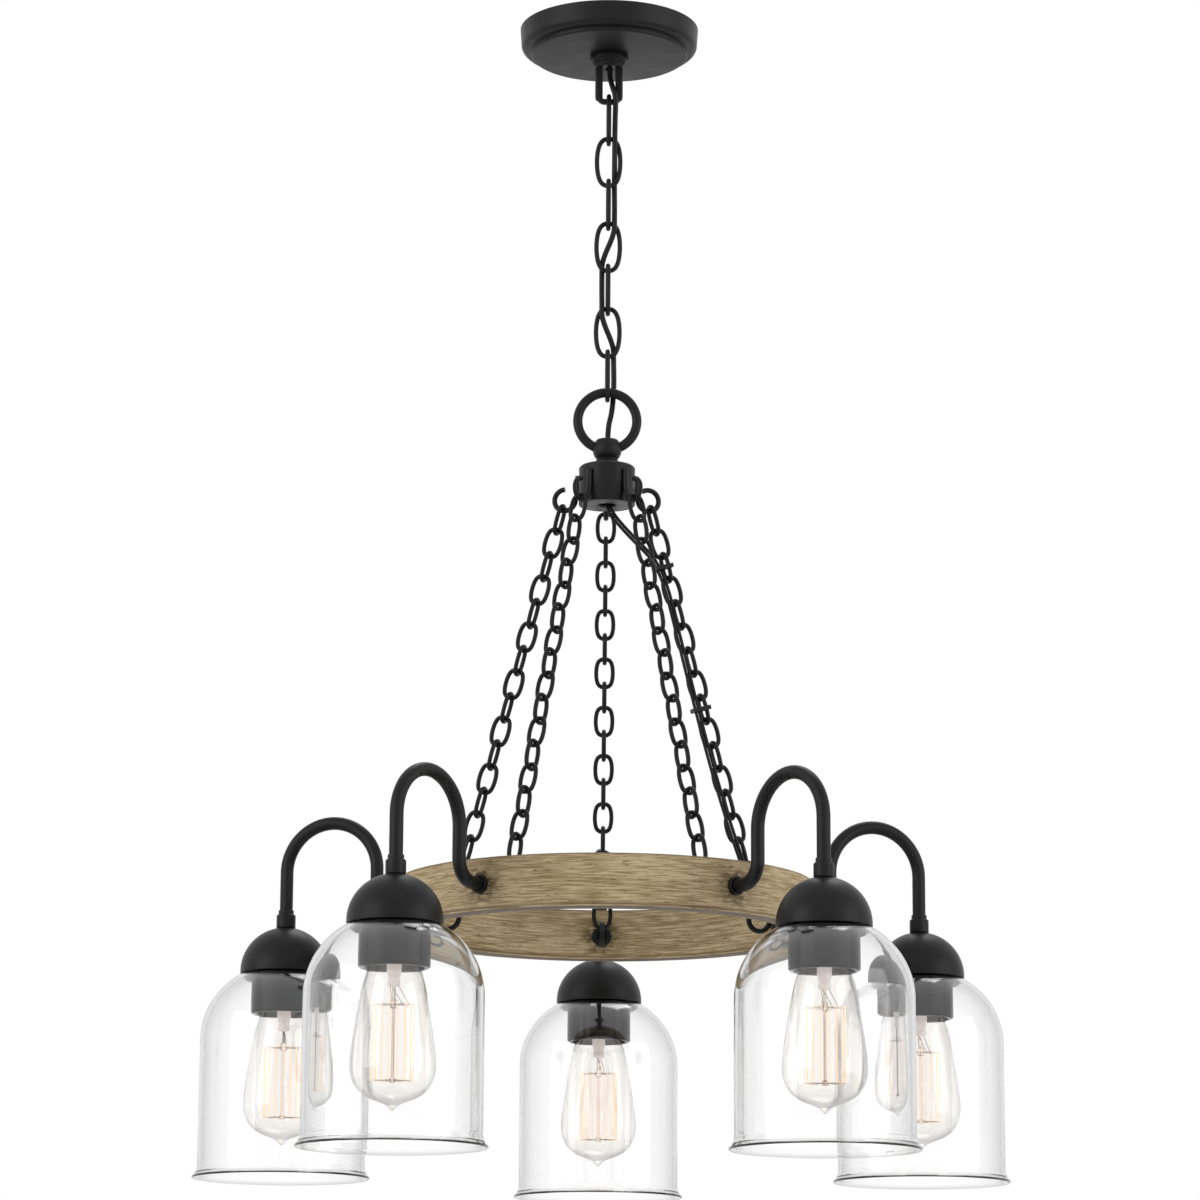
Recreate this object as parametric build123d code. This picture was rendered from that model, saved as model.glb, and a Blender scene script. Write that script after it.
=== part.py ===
from build123d import *
import math
import os

# Five-light ring chandelier. Millimetres, +Z up, origin where the fixture meets the ceiling.
# Each light lies in a radial plane: s is the distance from the fixture's axis.

# Lights
LIGHT_NAMES = ("front_left", "front_right", "right", "back", "left")
LIGHT_COUNT = 5
FIRST_ANGLE = -126.0
TOUCH = 0.05
RUNNING = 0.1
CUT_PAST = 3.0
END_PAST_NUT = 1.0

# Ceiling mount
BAR_LENGTH = 105.0
BAR_WIDTH = 19.0
BAR_THICK = 2.4
BOX_SCREW_SPACING = 88.9
BOX_SCREW_HOLE_R = 2.3
NIPPLE_R = 4.85
NIPPLE_BORE_R = 3.2
NIPPLE_LENGTH = 17.0
NUT_ACROSS_FLATS = 16.0
NUT_THICK = 3.0
LOOP_NECK_TOP = 9.0

# Canopy and its collar
CANOPY_R = 66.3
CANOPY_DROP = 16.5
CANOPY_DRAFT = 0.8
CANOPY_WALL = 1.2
CANOPY_EDGE_R = 4.5
CANOPY_HOLE_GAP = 0.6
DISC_R = 58.0
DISC_STEP = 3.8
DISC_EDGE_R = 1.5
COLLAR_WIDE_R = 14.15
COLLAR_WIDE_H = 4.0
COLLAR_SLIM_R = 12.3
COLLAR_SLIM_H = 2.2

# Canopy loop
LOOP_NECK_R = 11.0
LOOP_NECK_BOTTOM = 30.0
LOOP_HALF_WIDTH = 10.3
LOOP_WINDOW_HALF = 5.3
LOOP_DEPTH = 6.0
LOOP_WINDOW_BOTTOM = 53.8
LOOP_BAR = 4.0
LOOP_CORNER = 3.6
LOOP_BAR_ROUND = 1.9

# Upper chain
LINK_COUNT = 7
LINK_LENGTH = 40.0
LINK_WIDTH = 20.8
LINK_WIRE = 3.5
LINK_GAP = 0.2

# Supply cord
CORD_R = 2.0
CORD_SIDE = 4.45
CORD_CROSS = 5.2
CORD_BORE_R = 2.4
CORD_FLATS = 8
BEND_SHARE = 0.45

# Hub
HANGING_RING_R = 25.1
HANGING_RING_WIRE = 7.0
BALL_R = 10.6
BALL_FLAT = 7.4
HUB_NECK_R = 9.0
HUB_NECK_LENGTH = 5.4
HUB_R = 20.5
HUB_HEIGHT = 29.0
HUB_WALL = 2.0
HUB_TOP_WALL = 3.0
HUB_CHAMFER = 1.4
PLATE_THICK = 2.0
PLATE_HOLE_R = 7.0
SPLICE_R = 5.0
SPLICE_LENGTH = 10.0
SPLICE_BELOW_TOP = 9.0
SPLICE_BACK = 4.0
CORD_BACK = 6.0

# Hub hooks and ring eyes
HOOK_WIRE = 3.8
HOOK_CURL_R = 8.0
HOOK_REACH = 11.5
HOOK_UP = 6.0
HOOK_SHANK_UP = 17.5
HOOK_STEP = 36.0
HOOK_TURNS = (8, 8, 9, 8, 8)
EYE_REACH = 15.0
EYE_BELOW_MIDDLE = 1.8
EYE_NUT_R = 7.4
EYE_NUT_THICK = 4.6
EYE_NUT_CHAMFER = 1.6
EYE_LOCKNUT_THICK = 2.2
EYE_LOCKNUT_FLATS = 7.0

# Lower chains
LOWER_COUNT = 17
LOWER_LENGTH = 24.3
LOWER_WIDTH = 15.5
LOWER_WIRE = 3.2

# Ring
RING_R = 149.0
RING_THICK = 16.0
RING_HEIGHT = 36.5
RING_WALL = 4.0
RING_TOP_WALL = 5.0
RING_EDGE = 1.2
COVER_LEDGE = 1.5
COVER_THICK = 2.0

# Arms
ARM_R = 4.75
ARM_LEG = 24.5
ARM_BEND_R = 15.0
ARCH_R = 35.05
ARCH_RISE = 71.0
ARM_COLLAR_R = 6.6
ARM_COLLAR_THICK = 3.0
ARM_NUT_FLATS = 14.0
ARM_NUT_THICK = 2.6

# Neck coupling and shade cap
NECK_DROP = 75.6
COUPLING_R = 7.0
COUPLING_LENGTH = 10.0
COUPLING_CHAMFER = 1.0
SLEEVE_R = 5.6
SLEEVE_LENGTH = 3.0
CAP_R = 32.5
CAP_WALL = 1.2
CAP_LIP = 2.0
CAP_TOP_R = 32.0

# Glass shade
GLASS_R = 60.5
GLASS_RISE = 56.0
GLASS_WALL = 2.5
GLASS_HOLE_R = 21.0
GLASS_TOP_R = 29.5
GLASS_SIDE = 100.5
RIM_R = 64.3
RIM_FLARE = 7.0

# Socket
SOCKET_R = 18.0
SOCKET_LENGTH = 46.0
SOCKET_BOSS_R = 8.0
SOCKET_BOSS_LENGTH = 7.0
SOCKET_CHAMFER = 4.0
ARM_IN_SOCKET = 5.0
SHELL_WALL = 1.2
SHELL_LENGTH = 24.0
CONTACT_GAP = 0.3
SOCKET_RING_R = 24.25
SOCKET_RING_LENGTH = 28.0
FLANGE_R = 28.5
FLANGE_THICK = 2.5
LIP_BORE_R = 20.5
LIP_LENGTH = 11.5
LIP_CHAMFER = 1.2

# Bulb
BULB_R = 29.0
BULB_THROAT_R = 11.6
BULB_NECK_R = 18.2
BULB_SHOULDER_R = 25.3
BULB_CROWN_R = 21.5
BULB_NUB_R = 4.0
BULB_NUB_LENGTH = 4.6
BULB_WALL = 0.8
BASE_R = 13.2
BASE_LENGTH = 26.0
BASE_BUTTON_R = 4.6
BASE_BUTTON_H = 2.0
BASE_CONE_H = 3.0
BASE_CONE_R = 8.5
BULB_LENGTH = 138.0
BULB_NECK_DROP = 43.0
BULB_SHOULDER_DROP = 75.4
BULB_WIDEST_DROP = 106.5
BULB_CROWN_DROP = 123.4
BULB_IN_BASE = 4.0
BULB_SWELL = 0.7
STEM_R = 6.0
STEM_TIP_R = 2.6
STEM_DROP = 49.0
STEM_TAPER = 8.0
ROD_R = 1.0
ROD_IN_STEM = 0.5
SPOKE_GAP = 0.02
FILAMENT_R = 14.0
FILAMENT_WIRE = 0.9
FILAMENT_TOP = 63.5
FILAMENT_HEIGHT = 54.0
FILAMENT_STRANDS = 8

# Lower wires
WIRE_R = 1.2
WIRE_FLATS = 6
WIRE_SPACING = 2.6
WIRE_SIDE = -3.5
TIE_LINKS = (3, 9)
TIE_WIDTH = 3.0
TIE_THICK = 0.9
TIE_REACH = (6.8, 7.0)
TIE_ROOM = 0.4
TIE_ROOM_STRAND = 0.2
BUSH_R = 4.6
BUSH_THICK = 2.5
BUSH_ABOVE_EYE = 10.5
BUSH_SIDE = -10.0

# Places worked out from the sizes above, as heights under the ceiling
canopy_face = -(CANOPY_DROP + DISC_STEP)
loop_seat = -LOOP_WINDOW_BOTTOM
link_pitch = LINK_LENGTH - 2 * LINK_WIRE - LINK_GAP
link_reach = (LINK_LENGTH - LINK_WIRE) / 2
first_link = loop_seat + LINK_GAP + LINK_WIRE / 2 - link_reach
last_link = first_link - (LINK_COUNT - 1) * link_pitch
last_wire = last_link - link_reach
ring_wire_mid = HANGING_RING_R - HANGING_RING_WIRE / 2
hanging_ring_z = last_wire + LINK_WIRE / 2 + LINK_GAP + HANGING_RING_WIRE / 2 - ring_wire_mid
ball_z = hanging_ring_z - ring_wire_mid
hub_top = ball_z - BALL_FLAT - HUB_NECK_LENGTH
hub_bottom = hub_top - HUB_HEIGHT
hook_s = HUB_R + HOOK_REACH
hook_z = hub_bottom + HOOK_UP
splice_top = hub_top - SPLICE_BELOW_TOP
ring_inner_r = RING_R - RING_THICK
eye_s = ring_inner_r - EYE_REACH
lower_pitch = LOWER_LENGTH - 2 * LOWER_WIRE
lower_inset = HOOK_CURL_R - HOOK_WIRE / 2 - LOWER_WIRE / 2
lower_span = LOWER_COUNT * lower_pitch + LOWER_WIRE + 2 * lower_inset
lower_run = eye_s - hook_s
lower_fall = math.sqrt(lower_span**2 - lower_run**2)
lower_tilt = math.degrees(math.atan2(lower_run, lower_fall))
eye_z = hook_z - lower_fall
ring_z = eye_z + EYE_BELOW_MIDDLE
ring_top = ring_z + RING_HEIGHT / 2
ring_bottom = ring_z - RING_HEIGHT / 2
leg_s = RING_R + ARM_LEG
light_s = leg_s + 2 * ARCH_R
arch_z = ring_z + ARCH_RISE - ARCH_R
cap_top = ring_z + ARCH_RISE - NECK_DROP
cap_shoulder = cap_top - CAP_TOP_R
cap_lip = cap_shoulder - CAP_LIP
cap_inner_r = CAP_R - CAP_WALL
cap_inner_rise = CAP_TOP_R - CAP_WALL
cap_seat = cap_shoulder + CAP_TOP_R * math.sqrt(1 - ((ARM_R + TOUCH) / CAP_R) ** 2)
glass_mid = cap_lip - GLASS_RISE * math.sqrt(1 - (cap_inner_r / GLASS_R) ** 2)
glass_top = glass_mid + GLASS_RISE * math.sqrt(1 - (GLASS_TOP_R / GLASS_R) ** 2)
glass_seat = glass_top - GLASS_WALL
rim_z = glass_mid - GLASS_SIDE
socket_top = cap_shoulder + cap_inner_rise * math.sqrt(1 - (SOCKET_BOSS_R / cap_inner_r) ** 2)
socket_bottom = socket_top - SOCKET_LENGTH
arm_end = socket_top - ARM_IN_SOCKET
shell_inner_r = BASE_R + RUNNING
socket_bore_r = shell_inner_r + SHELL_WALL
bulb_top = socket_bottom + BASE_LENGTH


def light_angle(number):
    """Angle of light number 0 to 4 about the fixture's axis."""
    return FIRST_ANGLE + number * 360 / LIGHT_COUNT


def turned(points, height=0.0):
    """Solid of revolution from flat points (r, z), with z counted from height."""
    outline = Polyline(*[(r, height + z) for r, z in points], close=True)
    return revolve(Plane.XZ * make_face(outline), Axis.Z)


def disc(radius, thickness, z_top):
    """Round plate whose upper face is at z_top."""
    return Pos(0, 0, z_top - thickness / 2) * Cylinder(radius, thickness)


def hex_nut(flats, thickness, bore_r):
    """Hexagonal nut on the origin, with its lower face at zero."""
    outline = RegularPolygon(flats / 2, 6, major_radius=False) - Circle(bore_r)
    return extrude(outline, thickness)


def unit(dx, dz):
    """Direction of length one."""
    size = math.hypot(dx, dz)
    return dx / size, dz / size


def mitre(before, here, after):
    """Sideways step at a corner of a flat path, longer where the corner is sharper."""
    way_in = unit(here[0] - before[0], here[1] - before[1]) if before else None
    way_out = unit(after[0] - here[0], after[1] - here[1]) if after else None
    way_in = way_in or way_out
    way_out = way_out or way_in
    stretch = 1 + way_in[0] * way_out[0] + way_in[1] * way_out[1]
    return -(way_in[1] + way_out[1]) / stretch, (way_in[0] + way_out[0]) / stretch


def path_mitres(points, closed):
    """Mitre at each point of a flat path."""
    count = len(points)
    steps = []
    for i, here in enumerate(points):
        before = points[i - 1] if closed or i > 0 else None
        after = points[(i + 1) % count] if closed or i < count - 1 else None
        steps.append(mitre(before, here, after))
    return steps


def flat_sided(rings, closed):
    """Solid between rings of corners that follow each other."""
    sides = len(rings[0])
    following = rings[1:] + rings[:1] if closed else rings[1:]
    faces = []
    for ring, beyond in zip(rings, following):
        for j in range(sides):
            k = (j + 1) % sides
            faces.append(Face(Wire.make_polygon([ring[j], ring[k], beyond[k], beyond[j]])))
    if not closed:
        faces += [Face(Wire.make_polygon(rings[0])), Face(Wire.make_polygon(rings[-1]))]
    solid = Solid(Shell(faces))
    return solid if solid.volume > 0 else Solid(solid.wrapped.Reversed())


def bent_wire(points, width, closed=True):
    """Six-sided wire bent along flat points (x, z), with flats towards the bend's centre."""
    half = width / 2
    peak = half / math.cos(math.pi / 6)
    section = [(half, peak / 2), (0, peak), (-half, peak / 2)]
    section += [(-a, -b) for a, b in section]
    rings = [
        [Vector(x + a * nx, b, z + a * nz) for a, b in section]
        for (x, z), (nx, nz) in zip(points, path_mitres(points, closed))
    ]
    return flat_sided(rings, closed)


def link(length, width, wire):
    """Chain link standing in the XZ plane, its ends bent in four corners each."""
    bend_r = (width - wire) / 2
    straight = (length - width) / 2
    corner_r = bend_r / math.cos(math.radians(22.5))
    points = []
    for side in (1, -1):
        for step in range(4):
            angle = math.radians(22.5 + 45 * step)
            points.append(
                (side * corner_r * math.cos(angle), side * (straight + corner_r * math.sin(angle)))
            )
    return bent_wire(points, wire)


def hook_corners(count):
    """Corners of a curl about the origin, with one flat square to the lower chain's pull."""
    corner_r = HOOK_CURL_R / math.cos(math.radians(HOOK_STEP / 2))
    pull = -90 + lower_tilt
    first = pull - 2.5 * HOOK_STEP
    angles = [math.radians(first + HOOK_STEP * i) for i in range(count)]
    return [(corner_r * math.cos(a), corner_r * math.sin(a)) for a in angles]


def eased_route(points):
    """Route whose corners are cut along arcs as large as the runs allow, three points to an arc."""
    corners = [Vector(*p) for p in points]
    route = [corners[0]]
    for before, here, after in zip(corners, corners[1:], corners[2:]):
        back = before - here
        ahead = after - here
        half_turn = math.radians(180 - back.get_angle(ahead)) / 2
        reach = BEND_SHARE * min(back.length, ahead.length)
        bend_r = reach / math.tan(half_turn)
        start = here + back.normalized() * reach
        end = here + ahead.normalized() * reach
        inwards = (back.normalized() + ahead.normalized()).normalized()
        middle = here + inwards * bend_r * (1 / math.cos(half_turn) - 1)
        route += [start, middle, end]
    return route + [corners[-1]]


def cord_along(points, radius, sides):
    """Cord with flat sides along points in space, mitred at each of them."""
    runs = [(b - a).normalized() for a, b in zip(points, points[1:])]
    out = Plane(points[0], z_dir=runs[0]).x_dir
    rings = []
    for place, way_in, way_out in zip(points, runs[:1] + runs, runs + runs[-1:]):
        beside = way_in.cross(out)
        mitre_normal = way_in + way_out
        ring = []
        for i in range(sides):
            angle = math.tau * i / sides
            step = out * (radius * math.cos(angle)) + beside * (radius * math.sin(angle))
            slide = -step.dot(mitre_normal) / way_in.dot(mitre_normal)
            ring.append(place + step + way_in * slide)
        rings.append(ring)
        out = out - mitre_normal * (out.dot(way_out) / (1 + way_in.dot(way_out)))
    return flat_sided(rings, closed=False)


def crossbar():
    """Strap across the outlet box, with two screw holes and the nipple's hole."""
    strap = extrude(SlotOverall(BAR_LENGTH, BAR_WIDTH), -BAR_THICK)
    holes = Circle(NIPPLE_R + TOUCH)
    for side in (-1, 1):
        holes += Pos(side * BOX_SCREW_SPACING / 2, 0) * Circle(BOX_SCREW_HOLE_R)
    return strap - extrude(holes, -BAR_THICK)


def threaded_nipple():
    """Tube that joins the crossbar and the loop."""
    return extrude(Circle(NIPPLE_R) - Circle(NIPPLE_BORE_R), -NIPPLE_LENGTH)


def nipple_locknuts():
    """Nut under the crossbar and nut on top of the loop's neck."""
    nut = hex_nut(NUT_ACROSS_FLATS, NUT_THICK, NIPPLE_R + TOUCH)
    return [Pos(0, 0, -BAR_THICK - NUT_THICK) * nut, Pos(0, 0, -LOOP_NECK_TOP) * nut]


def canopy_outline(inset):
    """Half section of the canopy's outside, drawn in by inset."""
    edge = CANOPY_R - CANOPY_DRAFT - inset
    bottom = -CANOPY_DROP + inset
    face = canopy_face + inset
    step_r = DISC_R - inset
    return [
        (0, 0),
        (CANOPY_R - inset, 0),
        (edge, bottom + CANOPY_EDGE_R),
        (edge - CANOPY_EDGE_R, bottom),
        (step_r, bottom),
        (step_r, face + DISC_EDGE_R),
        (step_r - DISC_EDGE_R, face),
        (0, face),
    ]


def canopy_solid(inset):
    """Solid inside the canopy's outside, drawn in by inset, with its two edges rounded."""
    axis_top, rim, side, shoulder, groove, step, disc_edge, centre = canopy_outline(inset)
    round_side = RadiusArc(side, shoulder, CANOPY_EDGE_R)
    round_step = RadiusArc(step, disc_edge, DISC_EDGE_R)
    outline = Line(axis_top, rim) + Line(rim, side) + round_side + Line(shoulder, groove)
    outline += Line(groove, step) + round_step + Line(disc_edge, centre) + Line(centre, axis_top)
    return revolve(Plane.XZ * make_face(outline), Axis.Z)


def canopy():
    """Stepped shell that hides the ceiling mount, open at the top."""
    shell = canopy_solid(0) - canopy_solid(CANOPY_WALL)
    return shell - Pos(0, 0, canopy_face) * Cylinder(LOOP_NECK_R + CANOPY_HOLE_GAP, 4 * CANOPY_WALL)


def canopy_collar():
    """Stepped ring nut under the canopy, round the loop's neck."""
    bore = LOOP_NECK_R + RUNNING
    low = COLLAR_WIDE_H + COLLAR_SLIM_H
    points = [
        (bore, 0),
        (COLLAR_WIDE_R, 0),
        (COLLAR_WIDE_R, -COLLAR_WIDE_H),
        (COLLAR_SLIM_R, -COLLAR_WIDE_H),
        (COLLAR_SLIM_R, -low),
        (bore, -low),
    ]
    return turned(points, canopy_face)


def canopy_loop():
    """Round neck on the nipple with a flat loop under it."""
    low = LOOP_WINDOW_BOTTOM + LOOP_BAR
    neck_length = LOOP_NECK_BOTTOM - LOOP_NECK_TOP
    neck = Pos(0, 0, -LOOP_NECK_TOP - neck_length / 2) * Cylinder(LOOP_NECK_R, neck_length)
    outline = Polyline(
        (-LOOP_HALF_WIDTH, -LOOP_NECK_BOTTOM),
        (LOOP_HALF_WIDTH, -LOOP_NECK_BOTTOM),
        (LOOP_HALF_WIDTH, -low + LOOP_CORNER),
        (LOOP_HALF_WIDTH - LOOP_CORNER, -low),
        (-LOOP_HALF_WIDTH + LOOP_CORNER, -low),
        (-LOOP_HALF_WIDTH, -low + LOOP_CORNER),
        close=True,
    )
    loop = extrude(Plane.XZ * make_face(outline), LOOP_DEPTH / 2, both=True)
    window_height = LOOP_WINDOW_BOTTOM - LOOP_NECK_BOTTOM
    window = Box(2 * LOOP_WINDOW_HALF, 2 * LOOP_DEPTH, window_height)
    loop -= Pos(0, 0, -LOOP_NECK_BOTTOM - window_height / 2) * window
    bar_edges = loop.edges().filter_by(Axis.X).group_by(Axis.Z)[1]
    loop = fillet(bar_edges, LOOP_BAR_ROUND)
    socket = disc(NIPPLE_R + TOUCH, NIPPLE_LENGTH - LOOP_NECK_TOP + 1, -LOOP_NECK_TOP)
    bore = disc(CORD_BORE_R, neck_length, -LOOP_NECK_TOP)
    return neck + loop - socket - bore


def chain_link(number):
    """Upper link, odd ones edge-on and even ones face-on."""
    shape = link(LINK_LENGTH, LINK_WIDTH, LINK_WIRE)
    turn = 90 if number % 2 else 0
    return Pos(0, 0, first_link - (number - 1) * link_pitch) * Rot(0, 0, turn) * shape


def link_z(number):
    """Height of the middle of upper link number."""
    return first_link - (number - 1) * link_pitch


def cord_points():
    """Route of the supply cord down through the nipple, the chain and the hub."""
    side = CORD_SIDE
    cross = CORD_CROSS
    weave = link_pitch * 0.3
    points = [(0, 0, 0), (0, 0, -LOOP_NECK_BOTTOM - 4), (2.2, -5.9, loop_seat + 8.3)]
    points += [(side + 0.6, -6.4, loop_seat + 0.5), (side + 0.2, -4.2, first_link)]
    for number, way_in, way_out in ((2, 1, 1), (4, 1, -1), (6, -1, 1)):
        middle = link_z(number)
        points.append((way_in * side, -cross, middle + link_reach))
        points.append((way_in * side, -cross * 0.48, middle + weave))
        points.append((way_out * side, cross * 0.48, middle - weave))
        points.append((way_out * side, cross, middle - link_reach))
        if number < LINK_COUNT - 1:
            points.append((way_out * (side + 0.1), -0.2, link_z(number + 1)))
    points += [(side + 0.3, 4.4, last_link), (side + 0.3, CORD_BACK + 0.5, last_wire + 8)]
    points += [(3.4, CORD_BACK + 0.1, last_wire - 9), (0, CORD_BACK, ball_z + BALL_R + 6)]
    points += [(0, CORD_BACK, splice_top)]
    return points


def supply_cord():
    """Cord along its whole route."""
    return cord_along(eased_route(cord_points()), CORD_R, CORD_FLATS)


def hanging_ring_solid(extra=0.0):
    """Thick ring in the XZ plane."""
    ring = Torus(ring_wire_mid, HANGING_RING_WIRE / 2 + extra)
    return Pos(0, 0, hanging_ring_z) * Rot(90, 0, 0) * ring


def hub_ball():
    """Ball on a neck, bored for the hanging ring and for the cord."""
    ball = Pos(0, 0, ball_z) * Sphere(BALL_R)
    ball &= Pos(0, 0, ball_z) * Box(3 * BALL_R, 3 * BALL_R, 2 * BALL_FLAT)
    neck = disc(HUB_NECK_R, HUB_NECK_LENGTH + BALL_FLAT, ball_z)
    cord_hole = Pos(0, CORD_BACK, ball_z) * Cylinder(CORD_BORE_R, 4 * BALL_R)
    return ball + neck - cord_hole - hanging_ring_solid(RUNNING)


def hub_body():
    """Round cup, open below, that the hooks hang on."""
    inner = HUB_R - HUB_WALL
    points = [
        (0, 0),
        (HUB_R - HUB_CHAMFER, 0),
        (HUB_R, -HUB_CHAMFER),
        (HUB_R, -HUB_HEIGHT),
        (inner, -HUB_HEIGHT),
        (inner, -HUB_TOP_WALL),
        (0, -HUB_TOP_WALL),
    ]
    cord_hole = Pos(0, CORD_BACK, hub_top) * Cylinder(CORD_BORE_R, 4 * HUB_TOP_WALL)
    return turned(points, hub_top) - cord_hole


def hub_plate():
    """Plate flush in the cup's mouth, with the wire hole."""
    plate = Circle(HUB_R - HUB_WALL - TOUCH) - Circle(PLATE_HOLE_R)
    return Pos(0, 0, hub_bottom) * extrude(plate, PLATE_THICK)


def wire_splice():
    """Closed splice inside the cup, between the cord and the lower wires."""
    return Pos(0, SPLICE_BACK, 0) * disc(SPLICE_R, SPLICE_LENGTH, splice_top)


def hub_hooks():
    """Five wire hooks on the side of the cup, curled outwards and down."""
    hooks = []
    shank_s = HUB_R + HOOK_WIRE / 2
    for number in range(LIGHT_COUNT):
        shank = [(shank_s, hook_z + HOOK_SHANK_UP), (shank_s, hook_z + HOOK_CURL_R * 0.7)]
        curl = [(hook_s + x, hook_z + z) for x, z in hook_corners(HOOK_TURNS[number])]
        wire = bent_wire(shank + curl, HOOK_WIRE, closed=False)
        hooks.append(Rot(0, 0, light_angle(number)) * wire)
    return hooks


def chain_place(distance):
    """Point (s, z) at a distance from the hook's centre along a lower chain."""
    tilt = math.radians(lower_tilt)
    return hook_s + distance * math.sin(tilt), hook_z - distance * math.cos(tilt)


def lower_link_distance(number):
    """Distance from the hook's centre to the middle of lower link number."""
    return lower_inset + (LOWER_LENGTH - LOWER_WIRE) / 2 + (number - 1) * lower_pitch


def lower_chain(light):
    """Straight taut chain from a hub hook to a ring eye."""
    shape = link(LOWER_LENGTH, LOWER_WIDTH, LOWER_WIRE)
    links = []
    for number in range(1, LOWER_COUNT + 1):
        s, z = chain_place(lower_link_distance(number))
        turn = 90 if number % 2 else 0
        placed = Pos(s, 0, z) * Rot(0, -lower_tilt, 0) * Rot(0, 0, turn) * shape
        links.append(Rot(0, 0, light_angle(light)) * placed)
    return links


def flat_seat(radius, half):
    """Distance from the axis at which a flat face of this half width meets a round wall inside."""
    return math.sqrt(radius**2 - half**2)


def radial_disc(radius, s_inner, s_outer, z):
    """Round plate across the radial line, between two distances from the axis."""
    return Pos((s_inner + s_outer) / 2, 0, z) * Rot(0, 90, 0) * Cylinder(radius, s_outer - s_inner)


def ring_channel():
    """Hollow ring, open below, with holes for arms, eyes and the wires."""
    inner = ring_inner_r
    ledge_in = inner + COVER_LEDGE
    ledge_out = RING_R - COVER_LEDGE
    outside = make_face(
        Polyline(
            (inner, ring_bottom), (RING_R, ring_bottom), (RING_R, ring_top), (inner, ring_top), close=True
        )
    )
    outside = chamfer(outside.vertices(), RING_EDGE)
    hollow = Polyline(
        (inner + RING_WALL, ring_bottom),
        (RING_R - RING_WALL, ring_bottom),
        (RING_R - RING_WALL, ring_top - RING_TOP_WALL),
        (inner + RING_WALL, ring_top - RING_TOP_WALL),
        close=True,
    )
    ledge = Polyline(
        (ledge_in, ring_bottom - RING_EDGE),
        (ledge_out, ring_bottom - RING_EDGE),
        (ledge_out, ring_bottom + COVER_THICK),
        (ledge_in, ring_bottom + COVER_THICK),
        close=True,
    )
    section = outside - make_face(hollow) - make_face(ledge)
    ring = revolve(Plane.XZ * section, Axis.Z)
    through = inner + RING_WALL + CUT_PAST
    for number in range(LIGHT_COUNT):
        turn = Rot(0, 0, light_angle(number))
        ring -= turn * radial_disc(ARM_R + TOUCH, RING_R - RING_WALL - CUT_PAST, RING_R + CUT_PAST, ring_z)
        ring -= turn * radial_disc(HOOK_WIRE / 2 + TOUCH, inner - CUT_PAST, through, eye_z)
    bush_hole = radial_disc(bush_bore_r(), inner - CUT_PAST, through, bush_z())
    return ring - Rot(0, 0, light_angle(2)) * Pos(0, BUSH_SIDE, 0) * bush_hole


def ring_cover():
    """Flat ring that closes the channel underneath."""
    outline = Circle(RING_R - COVER_LEDGE - TOUCH) - Circle(ring_inner_r + COVER_LEDGE + TOUCH)
    return Pos(0, 0, ring_bottom) * extrude(outline, COVER_THICK)


def ring_eyes():
    """Five eye bolts through the ring's inner wall."""
    loop = [(eye_s + x, eye_z + z) for x, z in hook_corners(int(360 / HOOK_STEP))]
    eye = bent_wire(loop, HOOK_WIRE)
    shank_end = ring_inner_r + RING_WALL + EYE_LOCKNUT_THICK + END_PAST_NUT
    shank = radial_disc(HOOK_WIRE / 2, eye_s + HOOK_CURL_R, shank_end, eye_z)
    return [Rot(0, 0, light_angle(n)) * (eye + shank) for n in range(LIGHT_COUNT)]


def eye_nuts():
    """Round base nut before the ring's inner wall and hexagonal nut behind it."""
    seat = flat_seat(ring_inner_r, EYE_NUT_R)
    base = radial_disc(EYE_NUT_R, seat - EYE_NUT_THICK, seat, eye_z)
    base = chamfer(base.edges().group_by(Axis.X)[0], EYE_NUT_CHAMFER)
    base -= radial_disc(HOOK_WIRE / 2 + TOUCH, seat - EYE_NUT_THICK - CUT_PAST, seat + CUT_PAST, eye_z)
    back = hex_nut(EYE_LOCKNUT_FLATS, EYE_LOCKNUT_THICK, HOOK_WIRE / 2 + TOUCH)
    back = Pos(ring_inner_r + RING_WALL, 0, eye_z) * Rot(0, 90, 0) * back
    nuts = []
    for number in range(LIGHT_COUNT):
        turn = Rot(0, 0, light_angle(number))
        nuts += [turn * base, turn * back]
    return nuts


def arm(light):
    """Bent tube from the ring, up, over and down to a light."""
    start = RING_R - RING_WALL - ARM_NUT_THICK - END_PAST_NUT
    foot = Line((start, ring_z), (leg_s - ARM_BEND_R, ring_z))
    bend = JernArc(foot @ 1, foot % 1, ARM_BEND_R, 90)
    leg = Line(bend @ 1, (leg_s, arch_z))
    arch = JernArc(leg @ 1, leg % 1, ARCH_R, -180)
    drop = Line(arch @ 1, (light_s, arm_end))
    path = Plane.XZ * (foot + bend + leg + arch + drop)
    tube = sweep(Plane((start, 0, ring_z), z_dir=(1, 0, 0)) * Circle(ARM_R), path=path)
    return Rot(0, 0, light_angle(light)) * tube


def arm_collars():
    """Five round collars where the arms leave the ring."""
    collar = radial_disc(ARM_COLLAR_R, RING_R, RING_R + ARM_COLLAR_THICK, ring_z)
    collar -= radial_disc(ARM_R + TOUCH, RING_R - CUT_PAST, RING_R + ARM_COLLAR_THICK + CUT_PAST, ring_z)
    return [Rot(0, 0, light_angle(n)) * collar for n in range(LIGHT_COUNT)]


def arm_locknuts():
    """Five hexagonal nuts on the arms inside the ring."""
    corner = ARM_NUT_FLATS / 2 / math.cos(math.pi / 6)
    seat = flat_seat(RING_R - RING_WALL, corner)
    nut = hex_nut(ARM_NUT_FLATS, ARM_NUT_THICK, ARM_R + TOUCH)
    nut = Pos(seat - ARM_NUT_THICK, 0, ring_z) * Rot(0, 90, 0) * nut
    return [Rot(0, 0, light_angle(n)) * nut for n in range(LIGHT_COUNT)]


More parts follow.
